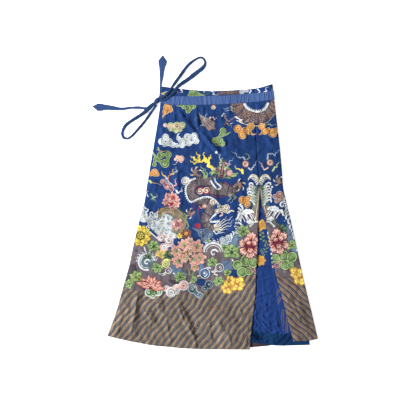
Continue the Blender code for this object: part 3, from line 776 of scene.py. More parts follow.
def foam_edge(brush, points, size, side, seed):
    """Hooks of foam along a line, all on one side of it, with beads of spray beyond them."""
    chance = random.Random(seed)
    path = smooth(points, 8)
    along, _, travelled = course(path)
    for k in range(int(travelled[-1] / (0.72 * size)) + 1):
        i = min(int(np.searchsorted(travelled, k * 0.72 * size)), len(path) - 1)
        turn = math.degrees(math.atan2(along[i, 1], along[i, 0])) + chance.uniform(-40, 40)
        turn += 0 if side > 0 else 180
        place = path[i] + (chance.uniform(-0.3, 0.3) * size, 0.0)
        tip = Brush(brush.art, *place, size * chance.uniform(0.6, 1.15), turn, side)
        hook(tip)
        if k % 2:
            tip.disc("white", 0.9, 1.3, 0.11)


def spots_inside(patch, tries, chance):
    """Random spots inside a patch, each with the number of its try."""
    low, high = patch.min(axis=0), patch.max(axis=0)
    for k in range(tries):
        spot = np.array([[chance.uniform(low[0], high[0]), chance.uniform(low[1], high[1])]])
        if inside(patch, spot)[0]:
            yield k, spot[0]


def surf(brush, points, curls, seed):
    """A heap of foam: a pale patch full of curls, with gaps where the ground shows."""
    chance = random.Random(seed)
    patch = smooth(points, 3, closed=True)
    middle = patch.mean(axis=0)
    brush.shape("steel", middle + (patch - middle) * 1.05)
    brush.shape("pearl", patch)
    for k, spot in spots_inside(patch, curls, chance):
        place = brush.at(*spot, 1, chance.uniform(0, 360))
        if k % 3 == 0:
            place.flame("navy", 3.0, ((-1, 2), (2, 4.4), (5, 2)), 2)
        ink = ("steel", "white", "sage", "slate")[k % 4]
        place.curl(ink, 0, 0, chance.uniform(2.8, 5.4), chance.uniform(0.6, 1.1), 0.2)


# Where the tips of the frond beside the slit curl: x, y
FROND_TIPS = ((2, 2), (5, 8), (8, 13), (12, 17), (16, 20), (20, 21), (24, 20.5), (28, 18))


def plume(brush, seed):
    """Feathered foam beside the slit: a drooping frond over hooked barbs that climb outwards."""
    chance = random.Random(seed)
    brush.stroke("teal", ((8, -6, 6), (14, -26, 13), (19, -46, 15), (24, -70, 12)))
    for k in range(7):
        y, reach = -5.0 - 8.8 * k + chance.uniform(-1, 1), 29 + chance.uniform(-3, 3) + 0.9 * k
        rows = ((14, y - 10), (19, y - 2), (reach - 3, y + 6), (reach + 4, y + 4), (reach + 3, y - 2))
        brush.flame("deep", 8.6, rows, 3, 0.6)
        brush.flame(("white", "cream", "pearl")[k % 3], 6.6 + chance.uniform(-0.5, 0.5), rows, 3, 0.5)
        for low, ink in ((5, "sage"), (3, "leaf"), (1, "teal")):
            brush.flame(ink, 1.6, ((9, y - 7 - low), (16, y - 1 - low), (reach - 6, y + 4 - low)), 3, 0.5)
    shade = ((1, -5, 8), (4, 9, 10.5), (10, 19, 10.5), (18, 24.5, 9), (26, 22, 6), (30, 16, 3))
    frond = ((1, -4, 5), (3.4, 9, 6), (9, 19.6, 6.4), (18, 25.4, 5.6), (26, 23, 4), (30.6, 17, 2))
    brush.stroke("teal", shade)
    brush.stroke("cream", frond)
    for k, (x, y) in enumerate(FROND_TIPS):
        for ink, width, rise in (("deep", 5.4, -1), (("white", "cream")[k % 2], 3.6, 0)):
            rows = ((x - 2, y + rise), (x + 3, y + rise - 1), (x + 6, y + rise - 5), (x + 5, y + rise - 8))
            brush.flame(ink, width, rows, 3, 0.5)
    brush.flame("sage", 1.6, ((1, -4), (3, 9), (8.6, 19), (16, 24.6), (24, 24)), 3, 0.5)


# Pale lobes above and below the stripes of a rock: x, y, radius
ROCK_LOBES = (
    (-11, 9, 5), (-7, 15, 5.5), (0, 18, 6.5), (8, 17.5, 6), (15, 17, 5), (20, 14, 3.4), (1, 12, 6),
    (9, 12, 5.5), (-24, 4, 4), (-21, 9, 4.4), (-26, -3, 3.6), (5, -16, 5), (11, -19, 5.4), (17, -16, 4.6),
    (11, -13, 5), (22, -18, 3),
)


def rock(brush):
    """A pale rock: slanting stripes between dark clefts, with scalloped lobes above and below."""
    for ink, wide in (("maroon", 9.4), ("ink", 7.4), ("white", 4.2)):
        for k, (slide, share) in enumerate(((0, 0.8), (3, 1.1), (-2, 0.9), (2, 1.2), (-1, 0.7))):
            x, y, width = -20 + 7.6 * k, 4 + 1.8 * k + slide, wide * share
            brush.stroke(ink, ((x, y + 3, width), (x + 8, y - 6, 0.8 * width), (x + 16, y - 20, 0.6 * width)))
    for ink, grow in (("umber", 1.4), ("white", 0.0)):
        for x, y, radius in ROCK_LOBES:
            brush.disc(ink, x, y, radius + grow)
    for x, y, radius in ROCK_LOBES[:5] + ROCK_LOBES[11:14]:
        brush.curl("mist", x, y - 0.5, 0.62 * radius, 0.9, 0.16, 200)


# What is printed where on the front. Places and sizes are in millimetres, turns in degrees.

# Patches of ground behind the flowers: ink, then points round each
PATCHES = (
    ("slate", ((71.3, -107.9), (86.8, -92.4), (111.6, -80), (117.8, -104.8), (108.5, -135.8),
     (83.7, -148.2), (68.2, -129.6))),
    ("slate", ((251.1, -73.8), (266.6, -67.6), (294.5, -92.4), (306.9, -148.2), (282.1, -166.8),
     (260.4, -135.8))),
    ("slate", ((-102.3, -191.6), (-80.6, -204), (-58.9, -222.6), (-65.1, -238.1), (-96.1, -225.7))),
    ("navy", ((-96.1, -111), (-65.1, -117.2), (-68.2, -135.8), (-89.9, -145.1), (-105.4, -132.7))),
    ("slate", ((49.6, -188.5), (71.3, -180.7), (86.8, -191.6), (83.7, -216.4), (65.1, -225.7),
     (46.5, -210.2))),
    ("slate", ((-40.3, -188.5), (-9.3, -176.1), (-3.1, -207.1), (-21.7, -219.5))),
    ("navy", ((71.3, -210.2), (102.3, -213.3), (96.1, -238.1), (74.4, -238.1))),
    ("navy", ((-27.9, -241.2), (-3.1, -238.1), (3.1, -256.7), (-21.7, -256.7))),
    ("umber", ((-244.9, -204), (-220.1, -191.6), (-210.8, -216.4), (-232.5, -241.2), (-251.1, -241.2))),
    ("umber", ((-96.1, -241.2), (-68.2, -253.6), (-89.9, -259.8), (-114.7, -241.2))),
    ("umber", ((176.7, -185.4), (207.7, -185.4), (213.9, -228.8), (195.3, -241.2))),
)
# Pale broken rims of the hills and other straight strokes: width, then the points
RIMS = (
    (3.6, ((-172.1, -90.8), (-161.2, -100.4), (-145.7, -114.1))),
    (3.2, ((-108.5, -134.5), (-96.1, -143.2))), (3.2, ((-189.1, -137.6), (-184.1, -152.5))),
    (3.2, ((-23.9, -230), (-8.4, -223.2))), (3.8, ((-50.8, -253), (-38.4, -246.1), (-25.4, -239.9))),
    (3.4, ((-98.6, -218.9), (-88.7, -227.5))), (3.4, ((83.1, -177.3), (94.2, -187.9))),
    (3.4, ((91.8, -149.4), (109.7, -135.8))), (3.8, ((74.4, -112.8), (86.8, -100.4), (99.2, -88))),
    (3.4, ((27.9, -222), (39.7, -226.9))), (3.2, ((282.1, -150.7), (292.6, -138.9))),
    (3.2, ((-238.7, -186.9), (-229.4, -174.8))),
)
# Heaps of foam: points round each, how many curls
SURF = (
    (((-173.6, -45.9), (-164.3, -38.4), (-148.8, -41.5), (-136.4, -33.5), (-120.9, -35.3), (-105.4, -42.8),
     (-93, -55.2), (-93, -73.8), (-86.8, -89.3), (-83.7, -104.8), (-102.3, -114.1), (-124, -109.7),
     (-139.5, -106.6), (-158.1, -89.3), (-170.5, -73.8)), 150),
    (((-198.4, -36.6), (-192.2, -22.9), (-179.8, -33.5), (-174.8, -52.1), (-182.9, -61.4),
     (-201.5, -58.3)), 24),
)
# Edges of foam: points, hook size, side, seed
FOAM_EDGES = (
    (((108.5, -10.5), (104.2, -33.5), (103.5, -58.3), (96.1, -80), (80.6, -103.5)), 15, 1, 1),
    (((241.8, 8.1), (255.4, -14.9), (260.4, -42.8), (274, -73.8), (285.2, -104.8)), 15, -1, 6),
    (((-173.6, -83.1), (-172.1, -55.2), (-159.7, -38.1), (-139.5, -36.6)), 10, 1, 7),
    (((-198.4, -58.3), (-195.3, -36.6), (-186, -22.6)), 10, 1, 8),
)
# Rocks: x, y, flip
ROCKS = ((128.3, -44.6, 1), (215.8, -35.3, -1))
# Strata beside the slit, from the middle outwards
STRATA = (
    "umber", "sand", "brown", "cream", "umber", "tan", "clay", "sage", "umber", "sand", "brown", "sage",
    "ink", "teal",
)
# Clouds: kind, lobes of x, y, radius, then the tail, where there is one, as x, y, width
CLOUDS = (
    ("orange", ((-115.9, 294.2, 13.3), (-107.9, 285.8, 8.1), (-122.1, 280.9, 9.3)), ((-124, 282.7, 8.1),
     (-128.3, 270.3, 5.2), (-131.4, 259.5, 1.2))),
    ("green", ((-77.5, 304.4, 8.1), (-63.9, 298.2, 9.9), (-49.6, 293.3, 11.6), (-37.2, 298.2, 9.3),
     (-52.7, 282.7, 7.5)), ((-68.2, 301.3, 9.3), (-80.6, 299.5, 5.8), (-89.9, 301.3, 1.2))),
    ("green", ((-40.3, 340.4, 9.3), (-26.7, 334.2, 9.3), (-46.5, 330.8, 7)), ((-21.7, 335.4, 8.1),
     (-9.3, 332.3, 4.6), (0, 332.3, 1.2))),
    ("shell", ((-123.4, 238.7, 6.4),)),
    ("sage", ((-107.3, 236.2, 11), (-86.8, 235, 13.9), (-70.7, 238.7, 10.4), (-89.9, 222.6, 8.7),
     (-106.6, 225.7, 6.4), (-77.5, 225.1, 7.5))),
    ("white", ((-134.5, 187.9, 10.4), (-122.8, 200.9, 11), (-110.4, 188.5, 9.9), (-124.6, 178.6, 7.5),
     (-99.2, 177.9, 9.3), (-87.4, 176.1, 7))),
    ("white", ((-68.2, 188.5, 11), (-53.9, 200.9, 12.2), (-32.9, 203.4, 12.2), (-27.9, 189.7, 9.9),
     (-50.2, 183.5, 9.9), (-71.3, 177.3, 9.3), (-81.8, 197.2, 7)), ((-74.4, 189.7, 8.1),
     (-85.6, 202.1, 5.8), (-79.4, 215.1, 1.9))),
    ("green", ((55.8, 220.7, 9.9), (49.6, 208.3, 6.4), (29.1, 191.6, 8.7), (45.9, 190.3, 9.9),
     (53.9, 181, 8.1), (37.2, 180.4, 6.4)), ((52.7, 205.2, 5.8), (67, 210.2, 4.6), (80, 217.6, 1.2))),
    ("orange", ((101.1, 227.5, 12.2), (115.9, 207.7, 12.2), (124, 223.8, 9.3), (142.6, 235, 11),
     (136.4, 217.6, 8.1)), ((136.4, 217.6, 8.1), (148.8, 209.6, 4.6), (159.3, 212.7, 1.2))),
    ("orange", ((175.5, 234.4, 10.4), (184.8, 219.5, 9.9), (195.3, 223.8, 7.5), (209.6, 214.5, 13.9),
     (222, 222, 9.3)), ((182.9, 223.8, 8.1), (173.6, 211.4, 5.8), (166.2, 209.6, 1.2))),
    ("green", ((-138.3, 145.1, 10.4), (-113.5, 146.9, 9.9), (-124, 120.3, 13.3), (-153.8, 132.7, 7),
     (-156.9, 117.2, 7)), ((-163.1, 155.6, 4.6), (-150.7, 138.3, 7), (-136.4, 125.9, 8.1))),
    ("orange", ((-156.2, 91.8, 11.6), (-168, 87.4, 7), (-147.6, 86.2, 6.4))),
    ("chalk", ((-60.1, 65.7, 13.3),)),
    ("cream", ((37.2, -28.5, 7.5), (51.5, -22.9, 9.3), (66.3, -16.7, 9.9), (44.6, -13, 6.4)),
     ((58.9, -27.3, 8), (71.3, -32.2, 5.4), (80.6, -26, 4.4), (91.1, -29.1, 2))),
    ("blue", ((-9.3, -95.5, 12.8), (13.6, -99.8, 11), (-3.1, -112.2, 9.3), (5, -88, 7.5)),
     ((-15.5, -91.1, 8.1), (-29.1, -84.9, 4.6), (-40.3, -78.7, 1.2))),
    ("orange", ((116.6, 6.8, 12.2), (133.3, 11.2, 8.1), (130.2, -6.2, 10.4))),
    ("fawn", ((217, 17.4, 7.5), (231.3, 23.6, 11), (222, 3.7, 7), (239.9, 11.8, 5.8))),
    ("shell", ((-135.2, -109.7, 12.8), (-111.6, -119, 13.9), (-127.1, -138.9, 12.2), (-103.5, -132.1, 7))),
    ("leafy", ((-160, -269.1, 11), (-173.6, -279.6, 13), (-145.7, -277.1, 14), (-162.4, -288.9, 10))),
    ("petal", ((-119.7, -267.8, 10), (-88, -267.2, 13), (-66.3, -257.9, 15.5))),
    ("chalk", ((-88.7, -277.1, 9), (-105.4, -280.2, 15))),
    ("night", ((-14.3, -288.9, 9), (-38.4, -269.1, 14)), ((-34.1, -278.4, 9), (-18.6, -293.9, 8),
     (-10.5, -297, 3))),
    ("dark", ((-1.2, -267.8, 9), (12.4, -255.4, 13))),
    ("azure", ((-0.6, -220.7, 16),), ((-3.1, -210.2, 7), (11.2, -202.7, 5.5), (18.6, -205.8, 2))),
    ("dusky", ((45.3, -202.7, 13),), ((37.2, -210.2, 8), (24.8, -216.4, 5), (18.6, -213.3, 2))),
    ("dusky", ((-113.5, -212, 10),), ((-120.9, -219.5, 6), (-133.3, -224.4, 6), (-143.8, -219.5, 2))),
    ("citron", ((-121.5, -190.3, 12),), ((-127.1, -179.2, 4.6), (-112.8, -177.9, 3.5),
     (-105.4, -183.5, 1.2))),
    ("rosy", ((148.2, -208.3, 6.4), (156.2, -216.4, 4.6)), ((145.7, -207.1, 5.8), (138.3, -199, 1.2))),
    ("rosy", ((223.2, -195.9, 7.5), (233.7, -185.4, 4.6)), ((226.3, -191.6, 5.8), (236.8, -182.3, 1.2))),
    ("foam", ((55.8, -117.2, 10.4), (72.5, -112.2, 11), (65.1, -125.2, 7.5))),
    ("foam", ((114.7, 342.9, 7.5), (129, 346, 5.8))),
    ("rosy", ((-130.2, 63.9, 8.1), (-116.6, 49, 9.9), (-103.5, 39.7, 7), (-122.8, 53.3, 7))),
)
# Flames, spray and thin lines: ink, width at the root, then points out to the tip
FLAMES = (
    ("yellow", 10.5, ((29.1, 104.8), (14.3, 109.1), (9.3, 122.8), (-3.1, 129), (-16.7, 126.5),
     (-26.7, 132.1))),
    ("yellow", 8.7, ((-18.6, 127.7), (-29.1, 130.2), (-35.3, 138.3), (-44.6, 141.4))),
    ("yellow", 8.2, ((-15.5, 127.7), (-19.8, 135.8), (-18.6, 144.5), (-28.5, 154.4))),
    ("yellow", 8.2, ((-1.9, 127.7), (1.9, 135.8), (-4.3, 143.2), (-2.5, 155))),
    ("yellow", 7.7, ((8.1, 124.6), (11.2, 134.5), (16.7, 138.3), (18.6, 148.2))),
    ("yellow", 6.3, ((-24.8, 129.6), (-29.1, 120.3), (-39.1, 123.4), (-45.3, 129.6))),
    ("mist", 5.2, ((125.9, 130.8), (116.6, 138.9), (103.5, 138.3), (96.1, 149.4), (81.8, 157.5))),
    ("sage", 4.2, ((130.2, 130.8), (137.6, 140.1), (132.1, 148.2), (125.2, 150.7))),
    ("pearl", 4.8, ((133.3, 104.8), (144.5, 101.7), (150.7, 112.2), (155, 116.6), (160, 128.3))),
    ("yellow", 8.2, ((119.7, 90.5), (112.8, 100.4), (104.2, 101.1), (91.1, 112.2))),
    ("mist", 5.8, ((196.5, 130.8), (193.4, 144.5), (204.6, 151.3), (215.8, 145.1), (221.3, 154.4),
     (232.5, 160.6))),
    ("pink", 5, ((195.3, 109.1), (186, 100.4), (178.6, 107.9), (175.5, 116.6), (168.6, 125.9))),
    ("lime", 5.2, ((210.8, 94.9), (213.9, 106.6), (222, 109.7), (225.1, 120.3), (233.7, 122.8))),
    ("mist", 4, ((49.6, 129), (44.6, 137), (46.5, 146.3), (38.4, 150.7), (32.9, 155.6))),
    ("mist", 4, ((68.2, 110.4), (76.3, 118.4), (74.4, 126.5), (83.7, 129.6), (89.3, 137.6))),
    ("leaf", 8.2, ((3.1, 75), (-5, 90.5), (-6.2, 102.9), (-14.3, 114.1))),
    ("sage", 6.8, ((6.2, 75), (5, 90.5), (-1.9, 104.2))),
    ("cream", 3.2, ((27.9, -75.6), (43.4, -67.6), (52.7, -57), (62, -52.1), (66.3, -44))),
    ("cream", 3.2, ((27.9, -78.1), (46.5, -71.9), (58.9, -60.1), (74.4, -53.9), (86.2, -44))),
    ("cream", 3.2, ((31, -81.2), (49.6, -78.1), (65.1, -65.7), (77.5, -64.5), (88.7, -53.9))),
    ("cream", 3.2, ((31, -84.3), (52.7, -83.1), (65.1, -75), (77.5, -73.8), (84.9, -65.7))),
    ("cream", 3.2, ((27.9, -86.2), (46.5, -89.3), (58.9, -84.3), (73.2, -84.9))),
    ("pearl", 5, ((24.8, -89.3), (37.2, -97.3), (49.6, -93.6), (63.9, -96.7))),
    ("cream", 4.2, ((27.9, -73.8), (38.4, -63.2), (45.3, -52.1))),
    ("sage", 5, ((71.3, 22.3), (80.6, 14.9), (75.6, 6.8), (66.3, 2.5))),
    ("mist", 5, ((77.5, 23.6), (89.3, 16.1), (86.8, 5.6), (77.5, -2.5))),
    ("sage", 5, ((83.7, 25.4), (94.9, 18), (93, 8.1))),
    ("gold", 6.8, ((-114.7, 68.8), (-125.2, 80), (-137, 95.5))),
    ("steel", 11.2, ((-124, 75), (-110.4, 57.7), (-99.2, 44), (-86.8, 29.8))),
    ("pearl", 4.2, ((-122.1, 76.3), (-108.5, 60.8), (-94.2, 42.2))),
    ("coral", 4.5, ((-112.8, 65.7), (-114.7, 78.1), (-107.3, 85.6), (-110.4, 94.2))),
    ("coral", 4.5, ((-102.3, 47.1), (-89.3, 56.4), (-93.6, 67.6), (-88, 73.2))),
    ("pearl", 5, ((-91.1, 36), (-81.8, 29.8), (-71.3, 36.6), (-72.5, 45.3), (-65.1, 48.4))),
    ("gold", 4.2, ((-105.4, 85.6), (-96.7, 89.3), (-101.1, 98), (-96.1, 102.9))),
    ("mist", 3.8, ((-94.2, 91.8), (-85.6, 96.7), (-91.8, 104.2), (-86.8, 109.1))),
    ("gold", 2.8, ((-173.6, 63.9), (-155, 59.5), (-133.3, 52.1))),
    ("lime", 5.8, ((-165.5, 61.4), (-171.7, 65.7), (-178.6, 70.1))),
    ("gold", 2.8, ((-148.8, 163.1), (-130.2, 157.5), (-108.5, 159.3))),
    ("lime", 2.8, ((-146.9, 169.3), (-141.4, 161.8), (-143.8, 154.4))),
    ("leaf", 4.2, ((-170.5, 25.4), (-161.2, 18), (-165.5, 8.7), (-156.9, 2.5))),
    ("lime", 3.8, ((-155, 18), (-161.2, 9.9), (-150.7, 3.7))),
    ("mist", 3.5, ((-155, 13), (-146.9, 19.2), (-151.9, 26))),
    ("pearl", 4.2, ((-174.8, 18), (-181.7, 26.7), (-175.5, 36))),
    ("pearl", 6.2, ((-182.9, -33.5), (-177.9, -22.3), (-191, -11.2))),
    ("pink", 4.5, ((-71.3, 124.6), (-84.9, 129), (-88.7, 120.3), (-98, 115.9))),
    ("mist", 4.5, ((86.8, 290.8), (77.5, 295.7), (70.1, 289.5), (55.8, 290.8))),
    ("mist", 3.8, ((86.8, 282.7), (77.5, 287.1), (68.2, 282.7), (60.1, 284))),
    ("pink", 4.5, ((91.1, 262.9), (102.3, 260.4), (109.7, 251.7), (117.8, 257.9), (124, 249.9),
     (136.4, 256.7))),
    ("white", 3.5, ((96.1, 264.1), (108.5, 256.1), (119.7, 247.4), (133.3, 250.5))),
    ("sage", 4.5, ((114.7, 245.5), (133.3, 239.9), (151.9, 235), (162.4, 237.5))),
    ("sage", 5, ((176.7, 237.5), (195.3, 241.8), (207.7, 238.1), (221.3, 241.2))),
    ("cream", 3, ((97.3, 253), (127.1, 241.2), (164.3, 237.5), (195.3, 249.9), (221.3, 278.4))),
    ("mist", 3.5, ((-3.1, 251.7), (1.2, 268.5), (9.3, 274))),
    ("pink", 4.2, ((14.3, 259.2), (23.6, 264.1), (29.1, 256.7), (37.2, 262.3))),
    ("mist", 3.2, ((-3.1, 240.6), (-14.3, 236.2), (-22.9, 227.5))),
    ("teal", 5.5, ((-25.4, 262.9), (-31, 256.1), (-26, 247.4))),
    ("clay", 5.8, ((58.9, 269.1), (65.1, 259.8), (66.3, 248.6), (71.3, 239.3))),
    ("clay", 4.2, ((66.3, 253.6), (77.5, 251.7), (83.7, 259.2), (89.9, 257.9))),
    ("clay", 4.2, ((67, 246.8), (60.1, 240.6), (58.9, 233.1))),
    ("clay", 4.2, ((68.2, 242.4), (78.7, 238.1), (82.5, 230))),
    ("white", 3.8, ((52.7, 264.7), (55.8, 273.4), (63.2, 274.7))),
    ("white", 3.2, ((79.4, 241.2), (84.9, 246.8))),
    ("pink", 4.5, ((46.5, -44.6), (53.9, -36.6), (49.6, -27.3))),
    ("umber", 3, ((-112.8, -11.8), (-102.3, -22.3), (-89.9, -25.4), (-77.5, -34.7))),
    ("leaf", 5.5, ((-65.1, -36.6), (-57, -44.6), (-60.1, -55.2), (-51.5, -62.6))),
    ("leaf", 5, ((-58.9, -61.4), (-50.8, -70.7), (-55.8, -80), (-49.6, -86.2))),
    ("forest", 5, ((-83.7, -21.1), (-71.3, -27.3), (-63.2, -36.6))),
    ("maroon", 4.2, ((-37.2, -5.6), (-31, -14.9), (-35.3, -24.2), (-27.9, -30.4))),
    ("coral", 4.2, ((-18.6, -13), (-10.5, -18), (-3.1, -9.9), (6.2, -11.8))),
    ("olive", 4, ((-139.5, -36.6), (-127.1, -22.9), (-108.5, -19.2), (-89.9, -28.5), (-74.4, -45.9),
     (-69.4, -67.6))),
    ("rose", 3.4, ((-130.2, -38.4), (-114.7, -29.1), (-96.1, -35.3), (-83.7, -50.8))),
    ("ochre", 5, ((-143.8, -33.5), (-138.3, -22.3), (-127.1, -19.2))),
    ("leaf", 5.5, ((-46.5, -225.7), (-50.8, -210.2), (-53.9, -197.8))),
    ("leaf", 4.2, ((-40.3, -228.8), (-37.2, -214.5), (-44.6, -200.9))),
    ("pearl", 3.8, ((-117.8, 329.2), (-129, 334.2), (-122.1, 342.9), (-110.4, 340.4))),
    ("tan", 5, ((-99.2, 336.7), (-89.9, 343.5), (-79.4, 337.3))),
    ("gold", 5, ((-133.3, 334.2), (-125.2, 339.8), (-119.7, 335.4))),
    ("white", 4.2, ((-76.3, 349.1), (-69.4, 343.5), (-75.6, 338.5))),
    ("white", 3.8, ((-47.7, 349.7), (-37.2, 348.4), (-23.6, 350.3))),
    ("white", 3.8, ((18.6, 342.9), (27.9, 339.1), (24.8, 333.6), (38.4, 331.1))),
    ("white", 4.2, ((138.3, 337.3), (142, 346.6), (137.6, 354))),
    ("white", 4.2, ((161.2, 349.7), (169.3, 345.3), (166.2, 337.3), (173.6, 333.6))),
    ("white", 4.2, ((182.9, 339.8), (191, 345.3), (187.2, 352.2), (197.2, 357.1))),
    ("mist", 3.8, ((201.5, 334.2), (208.9, 343.5), (205.8, 352.2))),
    ("teal", 7.5, ((3.1, 332.3), (12.4, 339.1), (27.9, 340.4))),
    ("lime", 5, ((-107.3, 327.4), (-102.3, 334.2), (-105.4, 341.6))),
    ("foam", 6.5, ((200.9, -150), (205.2, -166.8), (208.3, -183.5))),
    ("sage", 6, ((207.7, -177.9), (210.8, -194.7), (214.5, -212))),
    ("white", 3, ((203.4, -160.6), (208.3, -182.3), (212, -204))),
    ("red", 2.4, ((18.6, 21.1), (37.2, 16.1), (55.8, 17.4), (74.4, 25.4), (86.8, 37.8))),
    ("red", 2.2, ((58.9, 60.8), (74.4, 53.3), (86.8, 40.9))),
    ("red", 2.2, ((-18.6, -14.9), (-21.7, -33.5), (-15.5, -52.1))),
    ("red", 2, ((-27.9, 54.6), (-32.2, 40.9), (-26.7, 26.7))),
)
# Full flowers: kind, x, y, size, turn, height to width
PEONIES = (
    ("mauve", -114.1, -0.6, 27, 10, 0.7), ("salmon", -51.5, -164.3, 43, 0, 1.0),
    ("crimson", 138.9, -133.9, 31, 0, 1.25), ("crimson", 224.4, -122.1, 30, 14, 1.25),
    ("sun", 70.1, -262.9, 18, 20, 1.0), ("sun", 100.4, -252.3, 20, -30, 0.9),
    ("sun", 77.5, -243, 13, 40, 0.9), ("sun", 297.6, -231.9, 22, 10, 0.9),
    ("sun", 277.8, -218.2, 14, 60, 0.9),
)
# Round flowers: kind, x, y, size, turn, petals
DAISIES = (
    ("golden", -200.3, -103.5, 31, 8, 12), ("ember", -58.9, -97.3, 13, 20, 7),
    ("golden", -79.4, -104.8, 7, 20, 6), ("mauve", -85.6, -68.8, 16, 0, 7),
)
# Leaves: kind, x, y, size, turn
LEAVES = (
    ("fresh", -159.3, -137.6, 20, 20), ("golden", -139.5, -161.8, 15, -20), ("golden", -124, -148.2, 9, 40),
    ("dark", -114.7, -166.8, 15, 30), ("fresh", -147.6, -202.1, 18, 160), ("light", -213.9, -233.1, 21, 10),
    ("fresh", -234.4, -253.6, 15, 70), ("fresh", -77.5, -231.9, 18, 20), ("fresh", -36, -239.3, 12, 250),
    ("fresh", 22.9, -187.2, 17, 0), ("fresh", 42.2, -245.5, 17, 30), ("fresh", 82.5, -155.6, 26, 0),
    ("light", 70.1, -219.5, 13, 60), ("fresh", 63.2, -140.1, 13, 40), ("fresh", 119, -91.1, 21, 20),
    ("dark", 236.8, -87.4, 19, -10), ("fresh", 269.7, -133.9, 18, 10), ("fresh", 293.3, -111, 13, 40),
    ("dark", -175.5, -168.6, 11, 0), ("fresh", 7.4, -117.2, 9, 0),
)
# Green spirals: x, y, size, turn
SPIRALS = (
    (127.1, -181, 18, 40), (100.4, -194.7, 15, 0), (148.8, -188.5, 15, 120), (114.7, -216.4, 16, 200),
    (136.4, -213.3, 13, 70), (241.2, -164.9, 17, 10), (218.9, -174.2, 13, 80), (269.1, -169.9, 16, 160),
    (248, -193.4, 16, 250), (229.4, -191.6, 10, 30), (265.4, -195.9, 11, 100),
)
# Breaking waves: x, y, size, fill, second ink, where the arc of foam starts and ends
WAVES = (
    (-181, -185.4, 25, "brook", "teal", 10, 285), (26, -156.2, 30, "brown", "clay", 4, 178),
)
# Claws: x, y, size, turn
CLAWS = (
    (-27.9, 91.8, 19, 130), (105.4, 53.3, 20, 6), (-45.3, -34.7, 17, 190), (229.4, 65.7, 18, 160),
)
# Pearls: x, y, size
PEARLS = ((125.2, 118.4, 12), (201.5, 122.8, 11.5))
# Long scaled bodies: rows of x, y, width
DRAGON_BACK = (
    (0, 37.8, 18), (21.7, 37.8, 34), (49.6, 40.9, 42), (74.4, 36, 34), (93, 34.7, 17), (105.4, 44, 9),
)
DRAGON_COIL = (
    (31, 65.7, 26), (3.1, 63.9, 30), (-24.8, 62.6, 30), (-44.6, 44, 29), (-38.4, 18, 28), (-15.5, 5.6, 29),
    (10.5, -5.6, 31), (12.4, -30.4, 30), (-0.6, -52.1, 29), (8.1, -73.8, 26), (29.8, -81.8, 18),
    (46.5, -84.3, 8),
)
ARCH_BODY = (
    (97.3, 319.9, 34), (100.4, 295.1, 41), (125.9, 270.3, 40), (163.1, 259.8, 37), (194.1, 273.4, 36),
    (213.3, 295.1, 34), (217, 323, 28),
)
ARCH_TAIL = ((37.2, 334.2, 8), (58.9, 339.8, 15), (86.8, 340.4, 16), (108.5, 338.5, 10))
LOW_BEAST = (
    (-141.4, -50.8, 9), (-134.5, -30.4, 17), (-111.6, -24.2, 24), (-86.8, -36.6, 32), (-72.5, -59.5, 34),
    (-81.8, -83.1, 30), (-102.3, -84.9, 16),
)
# Crests along the bodies
ARCH_CREST = ((119.7, 306), (133.3, 288.9), (163.1, 279.6), (186, 288.9), (196.5, 307.5))
COIL_CREST = (
    (42.2, -5.6), (26, 11.2), (1.9, 17.4), (-24.8, 8.7), (-45.3, 1.9), (-57.7, 22.3), (-58.9, 45.3),
    (-48.4, 64.5), (-27.9, 73.8),
)
BACK_CREST = ((16.7, 67), (26.7, 51.5), (40.3, 39.1), (49.6, 48.4), (35.3, 60.8), (29.8, 76.9))
TAIL_CREST = ((34.1, -35.3), (19.8, -47.7), (12.4, -60.1), (27.9, -61.4), (45.3, -59.5))
# Single curls: x, y, size, ink, start
CURLS = (
    (-15.5, 35.3, 12, "red", 30), (4.3, 36, 11.5, "red", 200), (-3.1, -13, 7, "red", 90),
    (23.6, -0.6, 11, "clay", 160), (26, 294.5, 8, "rust", 0), (-73.2, 135.2, 10, "coral", 220),
    (-84.9, 138.9, 7, "coral", 100), (-91.8, 132.7, 5, "rose", 60),
)
# Small round beads: x, y, size, ink
BEADS = (
    (-22.9, -73.8, 9, "red"), (35.3, 154.4, 4, "white"), (137.6, 39.7, 3, "white"),
    (207.7, 47.1, 3, "white"), (74.4, -104.8, 3, "white"), (-129, 118.4, 3, "lime"),
    (47.7, 115.3, 3, "white"), (-52.7, 326.1, 3, "white"), (-3.1, 341.6, 3, "mist"),
)


# Locks behind the beast's head: ink, width, turn, reach
MANE = (
    ("forest", 0.6, 206, 1.3), ("leaf", 0.46, 190, 1.4), ("sage", 0.36, 224, 1.2), ("pearl", 0.36, 168, 1.2),
    ("forest", 0.56, -26, 1.4), ("leaf", 0.5, -6, 1.7), ("sage", 0.4, -38, 1.2), ("leaf", 0.46, 238, 0.9),
    ("leaf", 0.46, -60, 0.9), ("lime", 0.3, -16, 1.6), ("lime", 0.26, 198, 1.3),
)
# Inks of the locks round its face, and the edge of the face
FORELOCK_INKS = ("forest", "rose", "leaf", "umber", "sage", "maroon", "leaf", "brown", "forest", "lime")
BEAST_FACE = (
    (-0.62, -0.9), (-0.72, -0.1), (-0.46, 0.5), (-0.1, 0.95), (0.26, 0.9), (0.42, 0.4), (0.72, -0.1),
    (0.6, -0.8), (0, -1.05),
)


